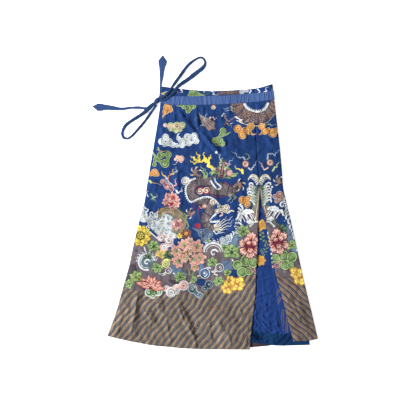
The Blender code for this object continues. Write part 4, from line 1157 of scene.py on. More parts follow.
def beast_head(brush):
    """A beast's head seen from above: striped snout, brows, eyes, a ragged mane and a curl beside it."""
    for ink, width, turn, reach in MANE:
        brush.at(0, -0.3, reach, turn).flame(ink, width, ((0, 0), (0.36, 0.14), (0.66, -0.06), (1.0, 0.1)))
    brush.nest((("umber", 1.0), ("brown", 0.88)), BEAST_FACE, 4)
    for k in range(7):
        x = -0.48 + 0.16 * k
        ink = ("maroon", "ash", "umber", "rose")[k % 4]
        brush.flame(ink, 0.1, ((x, -0.8), (x * 0.84, 0.0), (x * 0.3 + 0.06, 0.74)), tip=0.5)
    for x in (-0.3, 0.26):
        brush.flame("leaf", 0.2, ((1.8 * x, 0.2), (x, 0.16), (0.4 * x, 0.34)))
        brush.disc("cream", x, 0.0, 0.13)
        brush.disc("ink", x, 0.0, 0.06)
    for k, ink in enumerate(FORELOCK_INKS):
        turn = math.radians(36 * k + 10)
        lock = brush.at(0.62 * math.sin(turn), 0.84 * math.cos(turn), 0.5, -36 * k - 40)
        lock.flame(ink, 0.3, ((-0.3, -0.4), (0.1, -0.1), (0.0, 0.4), (0.4, 0.8)))
    brush.disc("rose", 0.8, -0.4, 0.34)
    brush.curl("cream", 0.8, -0.4, 0.26, 1.1, 0.2, 40)


# Edge of the folded wing, and the tips of its ribs
WING_EDGE = (
    (-0.94, 1.1), (-0.62, 0.62), (-0.2, 0.5), (0.2, 0.42), (0.56, 0.16), (0.9, -0.06), (0.84, -0.5),
    (0.96, -0.86), (0.5, -0.82), (0.2, -1.0), (-0.1, -0.66), (-0.42, -0.4), (-0.7, 0.2),
)
WING_RIBS = ((0.7, 0.0), (0.76, -0.46), (0.42, -0.7), (0.08, -0.76), (-0.2, -0.4))


def folded_wing(brush):
    """A folded wing with a scalloped edge and ribs."""
    brush.nest((("umber", 1.08), ("clay", 0.98)), WING_EDGE, 3)
    for x, y in WING_RIBS:
        brush.flame("ash", 0.1, ((-0.8, 0.8), (0.4 * x - 0.24, 0.5 * y + 0.34), (x, y)), 3, 0.6)
        shade = ((-0.7, 0.6), (0.4 * x - 0.3, 0.5 * y + 0.2), (x - 0.12, y - 0.04))
        brush.flame("umber", 0.07, shade, 3, 0.6)


def draw_slit(brush):
    """Strata and feathered foam down both sides of the slit, with a round hill at their foot."""
    for way, edge in ((-1, slit_left), (1, slit_right)):
        for k, ink in enumerate(STRATA[::-1]):
            spread = (len(STRATA) - k) / len(STRATA)
            rows = []
            for share in np.linspace(0, 1, 6):
                y = 54.0 - 118.0 * share
                x = float(edge(min(y, 20.0))) + way * 34.0 * spread * share**0.8
                rows.append((x, y, 1.6 + 1.9 * share))
            brush.stroke(ink, rows, 3)
        plume(brush.at(168.3, 58.9, flip=way), 5 + way)
        middle = float(edge(-62.0))
        hill = ((way * 1.0, -61.0), (way * 13, -63.0), (way * 27, -77.0), (way * 22, -96.0), (0.0, -96.0))
        brush.blob("brown", [(middle + x, y) for x, y in hill], 3)
        brush.line("white", 4.4, [(middle + x, y + 1) for x, y in hill[:3]])


# Upper limit of the stripes, and of the hills' ground above them: x, y
STRIPE_TOPS = (
    (-269.7, -259.8), (-201.5, -275.3), (-139.5, -281.5), (-46.5, -278.4), (31, -269.1), (83.7, -253.6),
    (120.9, -228.8), (164.3, -197.8), (195.3, -204), (220.1, -216.4), (263.5, -238.1), (325.5, -259.8),
)
GROUND_TOPS = (
    (-269.7, -76.9), (-207.7, -83.1), (-170.5, -95.5), (-139.5, -126.5), (-77.5, -154.4), (-3.1, -142),
    (27.9, -123.4), (65.1, -111), (108.5, -83.1), (145.7, -64.5), (220.1, -64.5), (251.1, -80),
    (325.5, -92.4),
)
stripe_top, ground_top = curve_through(STRIPE_TOPS), curve_through(GROUND_TOPS)
# Bands of the diagonal stripes along the hem: shares of one period, and inks on the left and right front
STRIPE_SHARES = (0.1, 0.11, 0.1, 0.16, 0.18, 0.15, 0.2)
LEFT_STRIPE_INKS = ("stripe", "silver", "stripe", "dusk", "sand", "tan", "dusk")
RIGHT_STRIPE_INKS = ("stripe", "silver", "stripe", "umber", "sand", "earth", "tan")
# Woven flecks in the stripes, then in the hills over them: ink, how many
STRIPE_FLECKS = (("rust", 30), ("maroon", 30), ("olive", 24), ("umber", 50), ("ochre", 16), ("silver", 30))
HILL_FLECKS = (("umber", 110), ("clay", 60), ("navy", 50), ("steel", 40), ("olive", 30))
FLECK_EDGE = ((-1, 0), (-0.5, -0.13), (0.6, -0.1), (1, 0), (0.4, 0.13), (-0.6, 0.12))


def draw_flecks(brush):
    """Short strokes scattered over the stripes, along them, and over the hills."""
    chance = random.Random(8)
    for in_hills, rows in enumerate((STRIPE_FLECKS, HILL_FLECKS)):
        for ink in [ink for ink, count in rows for _ in range(count)]:
            x = chance.uniform(-300, 345)
            top, middle = float(ground_top(x)), float(stripe_top(x))
            y = chance.uniform(middle, top - 6) if in_hills else chance.uniform(-450, middle - 8)
            lean = chance.uniform(0, 180) if in_hills else 53 if x < 150 else 132
            fleck = brush.at(x, y, chance.uniform(2.4, 6.4), lean + chance.uniform(-6, 6))
            thick = 2.4 if in_hills else 1.0
            fleck.shape(ink, [(u, v * thick) for u, v in FLECK_EDGE])


def speckle(brush, points, seed):
    """Small light and dark strokes inside a patch."""
    chance = random.Random(seed)
    patch = smooth(points, 3, closed=True)
    tries = int(np.prod(patch.max(axis=0) - patch.min(axis=0)) / 60)
    for k, spot in spots_inside(patch, tries, chance):
        fleck = brush.at(*spot, chance.uniform(1.6, 4.2), chance.uniform(0, 180))
        fleck.shape(("mist", "steel", "teal", "sage")[k % 4], ((-1, 0), (-0.2, -0.3), (1, 0), (0.3, 0.34)))


def wavy(points, reach):
    """The curve through points with a fine wave laid over it."""
    path = smooth(points, 3)
    return path + course(path)[1] * reach * np.sin(1.9 * np.arange(len(path)))[:, None]


def draw_grounds(brush):
    """What lies lowest on the fronts: flecks, patches, rims, foam, strata and rocks."""
    draw_flecks(brush)
    for seed, (ink, points) in enumerate(PATCHES):
        brush.blob(ink, points, 3)
        if ink == "slate":
            speckle(brush, points, seed)
    for width, points in RIMS:
        brush.line("white", width, points, 3)
    for seed, (points, curls) in enumerate(SURF):
        surf(brush, points, curls, seed)
    for edge in FOAM_EDGES:
        foam_edge(brush, *edge)
    draw_slit(brush)
    for x, y, flip in ROCKS:
        rock(brush.at(x, y, flip=flip))
    for x, y, size, *look in WAVES:
        wave_crest(brush.at(x, y, size), *look)
    for kind, *place in LEAVES:
        leaf(brush.at(*place), kind)
    for place in SPIRALS:
        spiral(brush.at(*place))


def draw_beasts(brush):
    """The long scaled bodies with their crests and claws."""
    scaled_body(brush, LOW_BEAST, ("umber", "tan", "sage", "rust"), 5.0)
    scaled_body(brush, DRAGON_BACK)
    crest(brush, TAIL_CREST, 3.0, 4.0)
    scaled_body(brush, DRAGON_COIL)
    crest(brush, COIL_CREST, 3.2, 4.0)
    brush.blob("navy", BACK_CREST, 3)
    crest(brush, BACK_CREST, 3.0, 3.4)
    for place in CLAWS:
        claw(brush.at(*place))
    arch = ("umber", "bark", "scale", "rust")
    scaled_body(brush, ARCH_BODY, arch, 7.2)
    scaled_body(brush, ARCH_TAIL, arch, 5.6)
    crest(brush, ARCH_CREST, 4.6, 5.0)
    folded_wing(brush.at(6.2, 248.6, 27))


def draw_front():
    """The print of both fronts, from what lies lowest to what lies on top."""
    brush = Brush([])
    draw_grounds(brush)
    draw_beasts(brush)
    for ink, width, points in FLAMES:
        brush.flame(ink, width, wavy(points, 0.34 * width), 2)
    for place in PEARLS:
        pearl(brush.at(*place))
    beast_head(brush.at(54.6, 104.2, 29, -6))
    for lobed in CLOUDS:
        cloud(brush, *lobed)
    for kind, x, y, size, turn, squash in PEONIES:
        peony(brush.at(x, y, size, turn), kind, squash)
    for kind, x, y, size, turn, petals in DAISIES:
        daisy(brush.at(x, y, size, turn), kind, petals)
    lotus(brush.at(-168.6, -251.7, 34), "lotus")
    for x, y, radius, ink, start in CURLS:
        brush.disc("cream", x, y, radius * 0.9)
        brush.curl(ink, x, y, radius, 1.4, 0.2, start)
    for x, y, size, ink in BEADS:
        brush.disc(ink, x, y, size)
    return brush.art


def stripe_phase_left(x, y):
    """Number of stripe periods at a point of the left front: the stripes climb to the right."""
    lean = 0.76 - 0.0005 * (x + 60)
    sway = 1.9 * np.sin(2 * math.pi * (y + 0.3 * x) / 78.0) + 1.2 * np.sin((x + 1.4 * y) / 15.0)
    return (x - lean * (y + 350) + sway) / 20.7


def stripe_phase_right(x, y):
    """The same for the right front, where the stripes fall to the right."""
    sway = 2.2 * np.sin(2 * math.pi * (y - 0.3 * x) / 80.0) + 1.2 * np.sin((x - 1.3 * y) / 15.0)
    return (x + 1.18 * (y + 350) + sway) / 22.4


def front_ground(phase, inks):
    """A function that gives the ground ink, before any motif, at points of a front."""
    edges = np.cumsum(STRIPE_SHARES)
    band_inks = np.array([INK_NAMES.index(ink) for ink in inks])

    def ink_at(x, y):
        band = np.minimum(np.searchsorted(edges, phase(x, y) % 1.0), len(edges) - 1)
        ink = np.where(y < ground_top(x), INK_NAMES.index("brown"), INK_NAMES.index("navy"))
        return np.where(y < stripe_top(x), band_inks[band], ink)

    return ink_at


def stripe_lines(phase, low_x, high_x):
    """Edge lines of the stripes, which are cut into the mesh as the motifs are."""
    ys, xs = np.arange(-460.0, -170.0, 4.0), np.arange(low_x - 120, high_x + 120, 1.0)
    phases = np.array([phase(xs, np.full(xs.shape, y)) for y in ys])
    edges = np.cumsum((0.0,) + STRIPE_SHARES[:-1])
    lines = []
    for period in range(int(np.floor(phases.min())), int(np.ceil(phases.max()))):
        for goal in period + edges:
            line = [(np.interp(goal, row, xs), y) for row, y in zip(phases, ys) if row[0] < goal < row[-1]]
            line = [p for p in line if low_x - 4 < p[0] < high_x + 4 and p[1] < stripe_top(p[0]) + 4]
            if len(line) > 1:
                lines.append(np.array(line))
    return lines


# Meshes. Heights and plans are in millimetres, and meshes are in metres.

# Size of the cells in which heights are compared
NEAR_CELL = 5.0


def inside(polygon, points):
    """Which points lie in a polygon, by its winding number."""
    x, y = points.T
    near = (x >= polygon[:, 0].min()) & (x <= polygon[:, 0].max())
    near &= (y >= polygon[:, 1].min()) & (y <= polygon[:, 1].max())
    found = np.zeros(len(points), bool)
    where = np.flatnonzero(near)
    if not len(where):
        return found
    x, y = x[where], y[where]
    after = np.roll(polygon, -1, axis=0)
    winding = np.zeros(len(where), int)
    for (ax, ay), (bx, by) in zip(polygon, after):
        if ay == by:
            continue
        side = (bx - ax) * (y - ay) - (x - ax) * (by - ay)
        winding += ((ay <= y) & (by > y) & (side > 0)).astype(int)
        winding -= ((by <= y) & (ay > y) & (side < 0)).astype(int)
    found[where] = winding != 0
    return found


def triangulate(points, edges, track=False):
    """Triangles between points, none crossing an edge. Gives points, faces and where each input went."""
    made = geometry.delaunay_2d_cdt([Vector(p) for p in points], edges, [], 0, 1e-4, track)
    moved = {source: new for new, sources in enumerate(made[3]) for source in sources}
    points = np.array([(p.x, p.y) for p in made[0]])
    faces = np.array([face[:] for face in made[2]], int)
    a, b, c = (points[faces[:, k]] for k in range(3))
    area = (b[:, 0] - a[:, 0]) * (c[:, 1] - a[:, 1]) - (b[:, 1] - a[:, 1]) * (c[:, 0] - a[:, 0])
    faces[area < 0] = faces[area < 0][:, ::-1]
    return points, faces[np.abs(area) > 1e-7], moved


def faces_inside(outline, plan, faces):
    """Those faces whose middle lies inside the outline."""
    return faces[inside(outline, plan[faces].mean(axis=1))]


def fill_points(outline, step, seed):
    """A jittered triangular net of points inside an outline and clear of its edge."""
    low, high = outline.min(axis=0), outline.max(axis=0)
    net = []
    for k, y in enumerate(np.arange(low[1], high[1], step * 0.87)):
        xs = np.arange(low[0] + (step / 2 if k % 2 else 0), high[0], step)
        net.append(np.column_stack((xs, np.full(xs.shape, y))))
    net = np.vstack(net)
    net += np.random.default_rng(seed).uniform(-0.22, 0.22, net.shape) * step
    kept = inside(outline, net)
    for way in ((step / 2, 0), (-step / 2, 0), (0, step / 2), (0, -step / 2)):
        kept &= inside(outline, net + way)
    return net[kept]


def paint(plan, faces, art, ground):
    """The ink of each face: the ground's, or that of the last shape that covers it."""
    centres = plan[faces].mean(axis=1)
    inks = np.asarray(ground(*centres.T), int)
    for ink, shape in art:
        inks[inside(shape, centres)] = INK_NAMES.index(ink)
    return inks


def face_edges(faces):
    """The three directed edges of every face."""
    return np.vstack([faces[:, (0, 1)], faces[:, (1, 2)], faces[:, (2, 0)]])


def ink_borders(faces, inks):
    """Edges between faces of different inks, and edges that only one face has."""
    edges = np.sort(face_edges(faces), axis=1)
    owners = np.tile(np.arange(len(faces)), 3)
    order = np.lexsort((edges[:, 1], edges[:, 0]))
    edges, owners = edges[order], owners[order]
    pairs = np.flatnonzero((edges[1:] == edges[:-1]).all(axis=1))
    alone = np.ones(len(edges), bool)
    alone[pairs] = alone[pairs + 1] = False
    changes = pairs[inks[owners[pairs]] != inks[owners[pairs + 1]]]
    return np.vstack([edges[alone], edges[changes]])


def cut_plan(outline, art, lines, ground, step):
    """The plan of a sheet, cut along the edges of its print that show: points, faces, inks."""
    low, high = outline.min(axis=0), outline.max(axis=0)
    points = [tuple(p) for p in outline]
    edges = [(k, (k + 1) % len(points)) for k in range(len(points))]
    near = [(ink, s) for ink, s in art if (s.max(axis=0) > low).all() and (s.min(axis=0) < high).all()]
    for shape, closed in [(s, True) for _, s in near] + [(line, False) for line in lines]:
        first = len(points)
        points += [tuple(p) for p in shape]
        edges += [(k, k + 1) for k in range(first, len(points) - 1)]
        if closed:
            edges.append((len(points) - 1, first))
    plan, faces, _ = triangulate(points, edges)
    faces = faces_inside(outline, plan, faces)
    edges = ink_borders(faces, paint(plan, faces, near, ground))
    used, renamed = np.unique(edges, return_inverse=True)
    points = [tuple(p) for p in (*plan[used], *fill_points(outline, step, 1))]
    plan, faces, _ = triangulate(points, renamed.reshape(-1, 2).tolist())
    used, renamed = np.unique(faces_inside(outline, plan, faces), return_inverse=True)
    plan, faces = plan[used], renamed.reshape(-1, 3)
    return plan, faces, paint(plan, faces, near, ground)


def rim_edges(faces):
    """Directed edges that only one face has."""
    edges = [tuple(edge) for edge in face_edges(faces).tolist()]
    backwards = {(b, a) for a, b in edges}
    return [edge for edge in edges if edge not in backwards]


def lowest_near(plan, heights, points):
    """The lowest of the heights over a plan within two or three cells of each point."""
    low = np.minimum(plan.min(axis=0), points.min(axis=0)) - 3 * NEAR_CELL
    high = np.maximum(plan.max(axis=0), points.max(axis=0))
    grid = np.full(np.ceil((high - low) / NEAR_CELL).astype(int) + 4, np.inf)
    np.minimum.at(grid, tuple(((plan - low) / NEAR_CELL).astype(int).T), heights)
    for _ in range(2):
        for axis in (0, 1):
            grid = np.minimum(grid, np.minimum(np.roll(grid, 1, axis), np.roll(grid, -1, axis)))
    return grid[tuple(((points - low) / NEAR_CELL).astype(int).T)]


def add_object(name, data):
    made = bpy.data.objects.new(name, data)
    bpy.context.scene.collection.objects.link(made)
    return made


def make_object(name, vertices, faces, material, inks=None, back_ink="navy"):
    """An object from vertices in metres, with each face's ink in the colour attribute named print."""
    mesh = bpy.data.meshes.new(name)
    mesh.from_pydata([tuple(v) for v in vertices], [], [tuple(f) for f in faces])
    mesh.polygons.foreach_set("use_smooth", np.ones(len(mesh.polygons), bool))
    if inks is not None:
        table = np.array([(*(INK_STRENGTH * linear(rgb)), 1.0) for rgb in INKS.values()])
        full = np.full(len(mesh.polygons), INK_NAMES.index(back_ink))
        full[: len(inks)] = inks
        totals = np.empty(len(full), int)
        mesh.polygons.foreach_get("loop_total", totals)
        layer = mesh.color_attributes.new("print", "FLOAT_COLOR", "CORNER")
        layer.data.foreach_set("color", np.repeat(table[full], totals, axis=0).ravel())
    mesh.materials.append(material)
    mesh.update()
    return add_object(name, mesh)


def sheet_object(name, outline, height, material, art=(), ground=None, lines=(), step=4.0,
                 printed_below=False, back_ink="navy"):
    """A closed cloth sheet whose underside follows a height over the plan.

    The side that shows carries the print and the fine mesh, and the other side a plain coarse one."""
    outline = np.array(outline, float)
    ground = ground or (lambda x, y: np.full(np.shape(x), INK_NAMES.index(back_ink)))
    plan, faces, inks = cut_plan(outline, art, lines, ground, step)
    rim = rim_edges(faces)
    rim_points = sorted({a for a, _ in rim})
    row = {point: k for k, point in enumerate(rim_points)}
    coarse = [tuple(p) for p in (*plan[rim_points], *fill_points(outline, max(6.0, 1.5 * step), 2))]
    other_plan, other_faces, moved = triangulate(coarse, [(row[a], row[b]) for a, b in rim], True)
    other_faces = faces_inside(outline, other_plan, other_faces)
    near_z, far_z = height(*plan.T), height(*other_plan.T)
    if printed_below:
        faces, far_z = faces[:, ::-1], far_z + CLOTH_SHOWN
    else:
        inner = np.setdiff1d(np.arange(len(other_plan)), [moved[k] for k in range(len(rim_points))])
        far_z[inner] = lowest_near(plan, near_z, other_plan[inner])
        other_faces, near_z = other_faces[:, ::-1], near_z + CLOTH_SHOWN
    vertices = np.vstack([np.column_stack((plan, near_z)), np.column_stack((other_plan, far_z))]) * MM
    count = len(plan)
    sides = [(b, a, count + moved[row[a]], count + moved[row[b]]) for a, b in rim]
    if printed_below:
        sides = [quad[::-1] for quad in sides]
    every = faces.tolist() + (other_faces + count).tolist() + sides
    return make_object(name, vertices, every, material, inks, back_ink)


def edge_meets(edge, line, guess):
    """The y at which a side edge meets a waist or hem line."""
    y = guess
    for _ in range(20):
        y = float(line(edge(y)))
    return y


def panel_outline(left, right, top, bottom, guesses, step):
    """The outline of a panel between a left and right edge, x of y, and a top and bottom, y of x.

    The guesses are the heights of its corners: top left, top right, bottom left, bottom right."""
    corners = ((left, top), (right, top), (left, bottom), (right, bottom))
    heights = [edge_meets(*corner, guess) for corner, guess in zip(corners, guesses)]
    rows = int((heights[0] - heights[2]) / step)
    down = [(float(left(y)), float(y)) for y in np.linspace(heights[0], heights[2], rows)]
    up = [(float(right(y)), float(y)) for y in np.linspace(heights[3], heights[1], rows)]
    across = max(3, int((up[0][0] - down[-1][0]) / step))

    def between(start, end, line):
        return [(x, float(line(x))) for x in np.linspace(start[0], end[0], across)[1:-1]]

    return down + between(down[-1], up[0], bottom) + up + between(up[-1], down[0], top)


def band_object(name, lower, upper, material):
    """A closed solid between two grids of points."""
    lower, upper = np.asarray(lower, float), np.asarray(upper, float)
    rows, columns = lower.shape[:2]
    grid = np.arange(rows * columns).reshape(rows, columns)
    far = grid + rows * columns
    down = np.stack([grid[:-1, :-1], grid[1:, :-1], grid[1:, 1:], grid[:-1, 1:]], axis=-1)
    up = np.stack([far[:-1, :-1], far[:-1, 1:], far[1:, 1:], far[1:, :-1]], axis=-1)
    every = down.reshape(-1, 4).tolist() + up.reshape(-1, 4).tolist()
    loop = [*grid[0, :-1], *grid[:-1, -1], *grid[-1, :0:-1], *grid[:0:-1, 0]]
    for a, b in zip(loop, loop[1:] + loop[:1]):
        every.append((a, b, b + rows * columns, a + rows * columns))
    points = np.vstack([lower.reshape(-1, 3), upper.reshape(-1, 3)]) * MM
    return make_object(name, points, every, material)


def tube_faces(rows, count, first=0, capped=True):
    """Faces along a row of rings, which is capped at both ends or else closes on itself."""
    grid = np.arange(first, first + rows * count).reshape(rows, count)
    near = grid[:-1] if capped else grid
    far = np.roll(grid, -1, axis=0)[: len(near)]
    quads = np.stack([near, np.roll(near, -1, axis=1), np.roll(far, -1, axis=1), far], axis=-1)
    caps = [grid[0, ::-1].tolist(), grid[-1].tolist()] if capped else []
    return quads.reshape(-1, 4).tolist() + caps


# Materials

def fill_in(links, node, inputs):
    """Sets each named input of a node to a value, or links it to another node's output."""
    for key, value in inputs.items():
        if isinstance(value, bpy.types.NodeSocket):
            links.new(value, node.inputs[key])
        else:
            node.inputs[key].default_value = value


def cloth_material(name, colour=None, roughness=0.55, sheen=0.1, thread=0.5, relief=0.00008, wear=0.2):
    """Woven silk or cotton: a fine weave, slubs and a soft sheen, over a plain colour or the print."""
    material = bpy.data.materials.new(name)
    material.use_nodes = True
    nodes, links = material.node_tree.nodes, material.node_tree.links

    def node(kind, inputs, **settings):
        made = nodes.new("ShaderNode" + kind)
        for key, value in settings.items():
            setattr(made, key, value)
        fill_in(links, made, inputs)
        return made.outputs

    place = node("TexCoord", {})["Object"]
    if colour is None:
        tint = node("VertexColor", {}, layer_name="print")["Color"]
    else:
        tint = INK_STRENGTH * linear(colour)
    for scale, detail, stretch, low, high in (
        (9.0, 3.0, (1, 1, 1), 1 - wear, 1 + wear),
        (90.0, 2.0, (1, 0.16, 1), 0.92, 1.08),
    ):
        spread = node("Mapping", {"Scale": stretch, "Vector": place})["Vector"]
        fac = node("TexNoise", {"Scale": scale, "Detail": detail, "Vector": spread})["Fac"]
        span = {"From Min": 0.3, "From Max": 0.7, "To Min": low, "To Max": high, "Value": fac}
        tone = node("MapRange", span)["Result"]
        tint = node("VectorMath", {0: tint, "Scale": tone}, operation="SCALE")["Vector"]
    bands = {"Scale": 0.314 / (thread * MM), "Distortion": 0.6, "Vector": place}
    waves = [node("TexWave", bands, wave_type="BANDS", bands_direction=way)["Fac"] for way in "XY"]
    weave = node("Math", {0: waves[0], 1: waves[1]}, operation="MULTIPLY")[0]
    bump = node("Bump", {"Strength": 0.5, "Distance": relief, "Height": weave})["Normal"]
    fill_in(links, nodes["Principled BSDF"], {
        "Base Color": tint, "Roughness": roughness, "Specular IOR Level": 0.03,
        "Sheen Weight": sheen, "Sheen Roughness": 0.45, "Normal": bump,
    })
    return material


SILK = cloth_material("printed_silk_cloth", None, 0.7, 0.02, 0.45, 0.00006)
PLAIN = cloth_material("plain_lining_cloth", None, 0.55, 0.06, wear=0.12)
TIE = cloth_material("tie_cloth_weave", (74, 99, 152), wear=0.14)
# The bow's cloth is a deeper navy than the tie's. Part of that is its own colour, and part is painted shade
# for the shadow round the knot, spread over the whole bow.
BOW = cloth_material("bow_cloth_weave", (38, 62, 102))
TAIL = cloth_material("tail_cloth_weave", (54, 78, 126))


# Pieces

FRONT_ART = draw_front()
# Distance between the points of a front's mesh
STEP = 3.7


def dress(piece, node):
    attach(piece, "root")
    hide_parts(node)


def make_fronts():
    outline = panel_outline(side_left, left_front_edge, waist, left_hem, (360, 352, -413, -456), 3.4)
    left = sheet_object(
        "left_front_cloth", outline, left_front_height, SILK, FRONT_ART,
        front_ground(stripe_phase_left, LEFT_STRIPE_INKS), stripe_lines(stripe_phase_left, -306, 172), STEP,
    )
    dress(left, "left_front")
    outline = panel_outline(right_front_edge, side_right, waist, right_hem, (352, 366, -430, -423), 3.4)
    right = sheet_object(
        "right_front_cloth", outline, right_front_height, SILK, FRONT_ART,
        front_ground(stripe_phase_right, RIGHT_STRIPE_INKS), stripe_lines(stripe_phase_right, 150, 352), STEP,
    )
    dress(right, "right_front")


# Height of the greener band along the underlap's hem, and the sprigs over it: x, y, size, turn
UNDERLAP_BAND = 36.0
UNDERLAP_SPRIGS = (
    (175.2, -104.8, 22, 8), (189.1, -138.9, 20, -14), (178.2, -157.5, 12, 30),
)


def draw_underlap():
    """Paired sprigs between two orange flowers."""
    brush = Brush([])
    for x, y, size, turn in UNDERLAP_SPRIGS:
        sprig(brush.at(x, y, size, turn), 7, "forest", "leaf")
        sprig(brush.at(x + 6, y + 3, size * 0.8, turn + 50), 5, "umber", "tan")
    daisy(brush.at(175.5, -70.7, 14, 20), "honey", 6)
    daisy(brush.at(171.7, -180.7, 14), "honey", 7)
    return brush.art


def facing_edge(y):
    """The edge of the facing that shows in the slit."""
    return float(slit_right(y) - facing_shows(y))


# Printed lines on the facing: x offset from its edge at the top, y, length, lean
FACING_LINES = (
    (4.0, -268, 20, 11.0), (8.0, -270, 20, 11.0), (3.0, -292, 26, 12.0), (7.5, -294, 26, 12.0),
    (9.0, -330, 62, 3.0), (14.0, -334, 66, 1.0), (20.0, -350, 52, 3.0), (24.0, -354, 50, 2.0),
)


def draw_facing():
    """Slanting double lines over a row of small light scraps."""
    brush = Brush([])
    for offset, y, length, lean in FACING_LINES:
        rows = ((lean * 0.5, 0, 1.1), (0, -length / 2, 1.3), (-lean * 0.5, -length, 0.9))
        for shift, ink in ((0.0, "tan"), (1.5, "umber")):
            brush.at(facing_edge(y) + offset + shift, y).stroke(ink, rows, 2)
    for k, y in enumerate(range(-95, -200, -13)):
        ink = ("white", "lime", "sage", "rose", "mist")[k % 5]
        scrap = brush.at(facing_edge(y) + 3, y, 5.0, 20 * k)
        scrap.blob(ink, ((-0.7, -0.9), (-0.4, 0.9), (0.6, 0.7), (0.5, -0.6)))
    return brush.art


def underlap_ground(x, y):
    """Ground of the plain underlap: blue, with a greener band along its hem."""
    band, plain = INK_NAMES.index("hem_teal"), INK_NAMES.index("lining")
    return np.where(y < underlap_hem(x) + UNDERLAP_BAND, band, plain)


def level(value):
    """A straight edge or line at one value."""
    return lambda along: np.full(np.shape(along), value)


def make_underlap():
    left, cut = level(UNDERLAP_LEFT), UNDERLAP_SEAM_Y
    outline = panel_outline(
        left, underlap_right, level(UNDERLAP_TOP), level(cut + SEAM_GAP / 2), (300, 300, -200, -200), 5.0
    )
    printed = sheet_object(
        "underlap_printed_cloth", outline, underlap_printed_height, SILK, draw_underlap(), step=5.0
    )
    dress(printed, "underlap_printed")
    outline = panel_outline(
        left, underlap_right, level(cut - SEAM_GAP / 2), underlap_hem, (-201, -201, -429, -442), 3.0
    )
    plain = sheet_object(
        "underlap_plain_cloth", outline, underlap_plain_height, PLAIN, (), underlap_ground, step=2.6,
        back_ink="lining",
    )
    dress(plain, "underlap_plain")
    ys = np.arange(FACING_TOP, -411, -4.0)
    outline = [(facing_edge(y), y) for y in ys] + [(float(slit_right(y)) + FACING_TUCK, y) for y in ys[::-1]]
    facing = sheet_object(
        "slit_facing_cloth", outline, facing_height, PLAIN, draw_facing(), step=3.0, back_ink="lining"
    )
    dress(facing, "slit_facing")


def draw_back():
    """The back's print: the same motifs in a looser layout, for the side that lies on the floor."""
    brush, chance = Brush([]), random.Random(12)
    kinds = ("orange", "green", "white", "sage", "blue", "cream", "shell")
    bodies = [row[1:] for row in CLOUDS if len(row[1]) > 3]
    for row, y in enumerate(range(250, -160, -74)):
        for column, x in enumerate(range(-180, 230, 82)):
            x, place_y = x + 20 * (row % 2) + chance.uniform(-10, 10), y + chance.uniform(-14, 14)
            if not side_left(y) + 24 < x < side_right(y) - 24:
                continue
            place = brush.at(x, place_y, 1.0, chance.uniform(-20, 20))
            kind = 5 * row + column
            if kind % 4 == 3:
                peony(place.at(0, 0, 28), ("mauve", "crimson", "salmon")[kind % 3])
                continue
            lobes, *tail = bodies[kind % len(bodies)]
            middle = np.mean([lobe[:2] for lobe in lobes], axis=0)
            moved = [[(a - middle[0], b - middle[1], c) for a, b, c in rows] for rows in (lobes, *tail)]
            cloud(place, kinds[kind % len(kinds)], *moved)
    for k in range(9):
        x, y = -200 + 58 * k, -205 + 16 * (k % 2)
        leaf(brush.at(x + 30, y - 22, 20, 40 * k), "fresh")
        if k % 2:
            wave_crest(brush.at(x, y, 26), "brown", "steel")
        else:
            peony(brush.at(x, y, 34, 20 * k), ("salmon", "crimson", "mauve")[k % 3])
    return brush.art


def make_back():
    outline = panel_outline(side_left, side_right, waist, back_hem, (360, 366, -412, -420), 4.0)
    back = sheet_object(
        "back_cloth", outline, back_underside, SILK, draw_back(),
        front_ground(stripe_phase_left, LEFT_STRIPE_INKS), stripe_lines(stripe_phase_left, -306, 352), 7.0,
        printed_below=True, back_ink="umber",
    )
    dress(back, "back_panel")


# The tie and its bow

# Where the tie leaves the knot, where it reaches its full width, and its width at the knot
TIE_NECK_X = -138.0
TIE_TAPER_ENDS_X = -104.0
TIE_NECK_WIDTH = 12.0


def tie_width(x):
    return TIE_NECK_WIDTH + (TIE_WIDTH - TIE_NECK_WIDTH) * smooth_step(TIE_NECK_X, TIE_TAPER_ENDS_X, x)


def puckers(seed):
    """Creases across the tie: x, lean, height, half-width."""
    chance = random.Random(seed)
    rows, x = [], -96.0
    while x < 210:
        rows.append((x, chance.uniform(-0.26, 0.26), chance.uniform(0.3, 1.5), chance.uniform(1.8, 4.0)))
        x += chance.uniform(5.0, 17.0)
    return rows


PUCKERS = puckers(5)
# Gathers that run along the neck of the tie: share across it at the knot, height
NECK_FOLDS = ((-0.38, 2.3), (-0.16, 2.7), (0.1, 2.6), (0.34, 2.1))


def tie_relief(x, across):
    """Height of the tie's puckers and of the gathers at its neck. across runs from -0.5 to 0.5."""
    relief = np.zeros(np.shape(x))
    for centre, lean, height, half_width in PUCKERS:
        off = (x - centre - lean * TIE_WIDTH * across) / half_width
        uneven = 0.7 + 0.3 * np.cos(5 * across + centre)
        relief += height * (1 - off * off) * np.exp(-off * off / 1.4) * uneven
    neck = 1 - smooth_step(TIE_NECK_X + 18, TIE_TAPER_ENDS_X + 48, x)
    for share, height in NECK_FOLDS:
        off = (across - share) / 0.075
        relief += 0.9 * height * neck * np.exp(-off * off)
    edge = smooth_step(0.5, 0.42, np.abs(across))
    relief = relief * (0.25 + 0.75 * edge)
    relief += 0.4 * smooth_step(0.34, 0.4, np.abs(across)) * edge
    return relief + 0.2 * ripple(x, TIE_WIDTH * across, 31, 24.0)


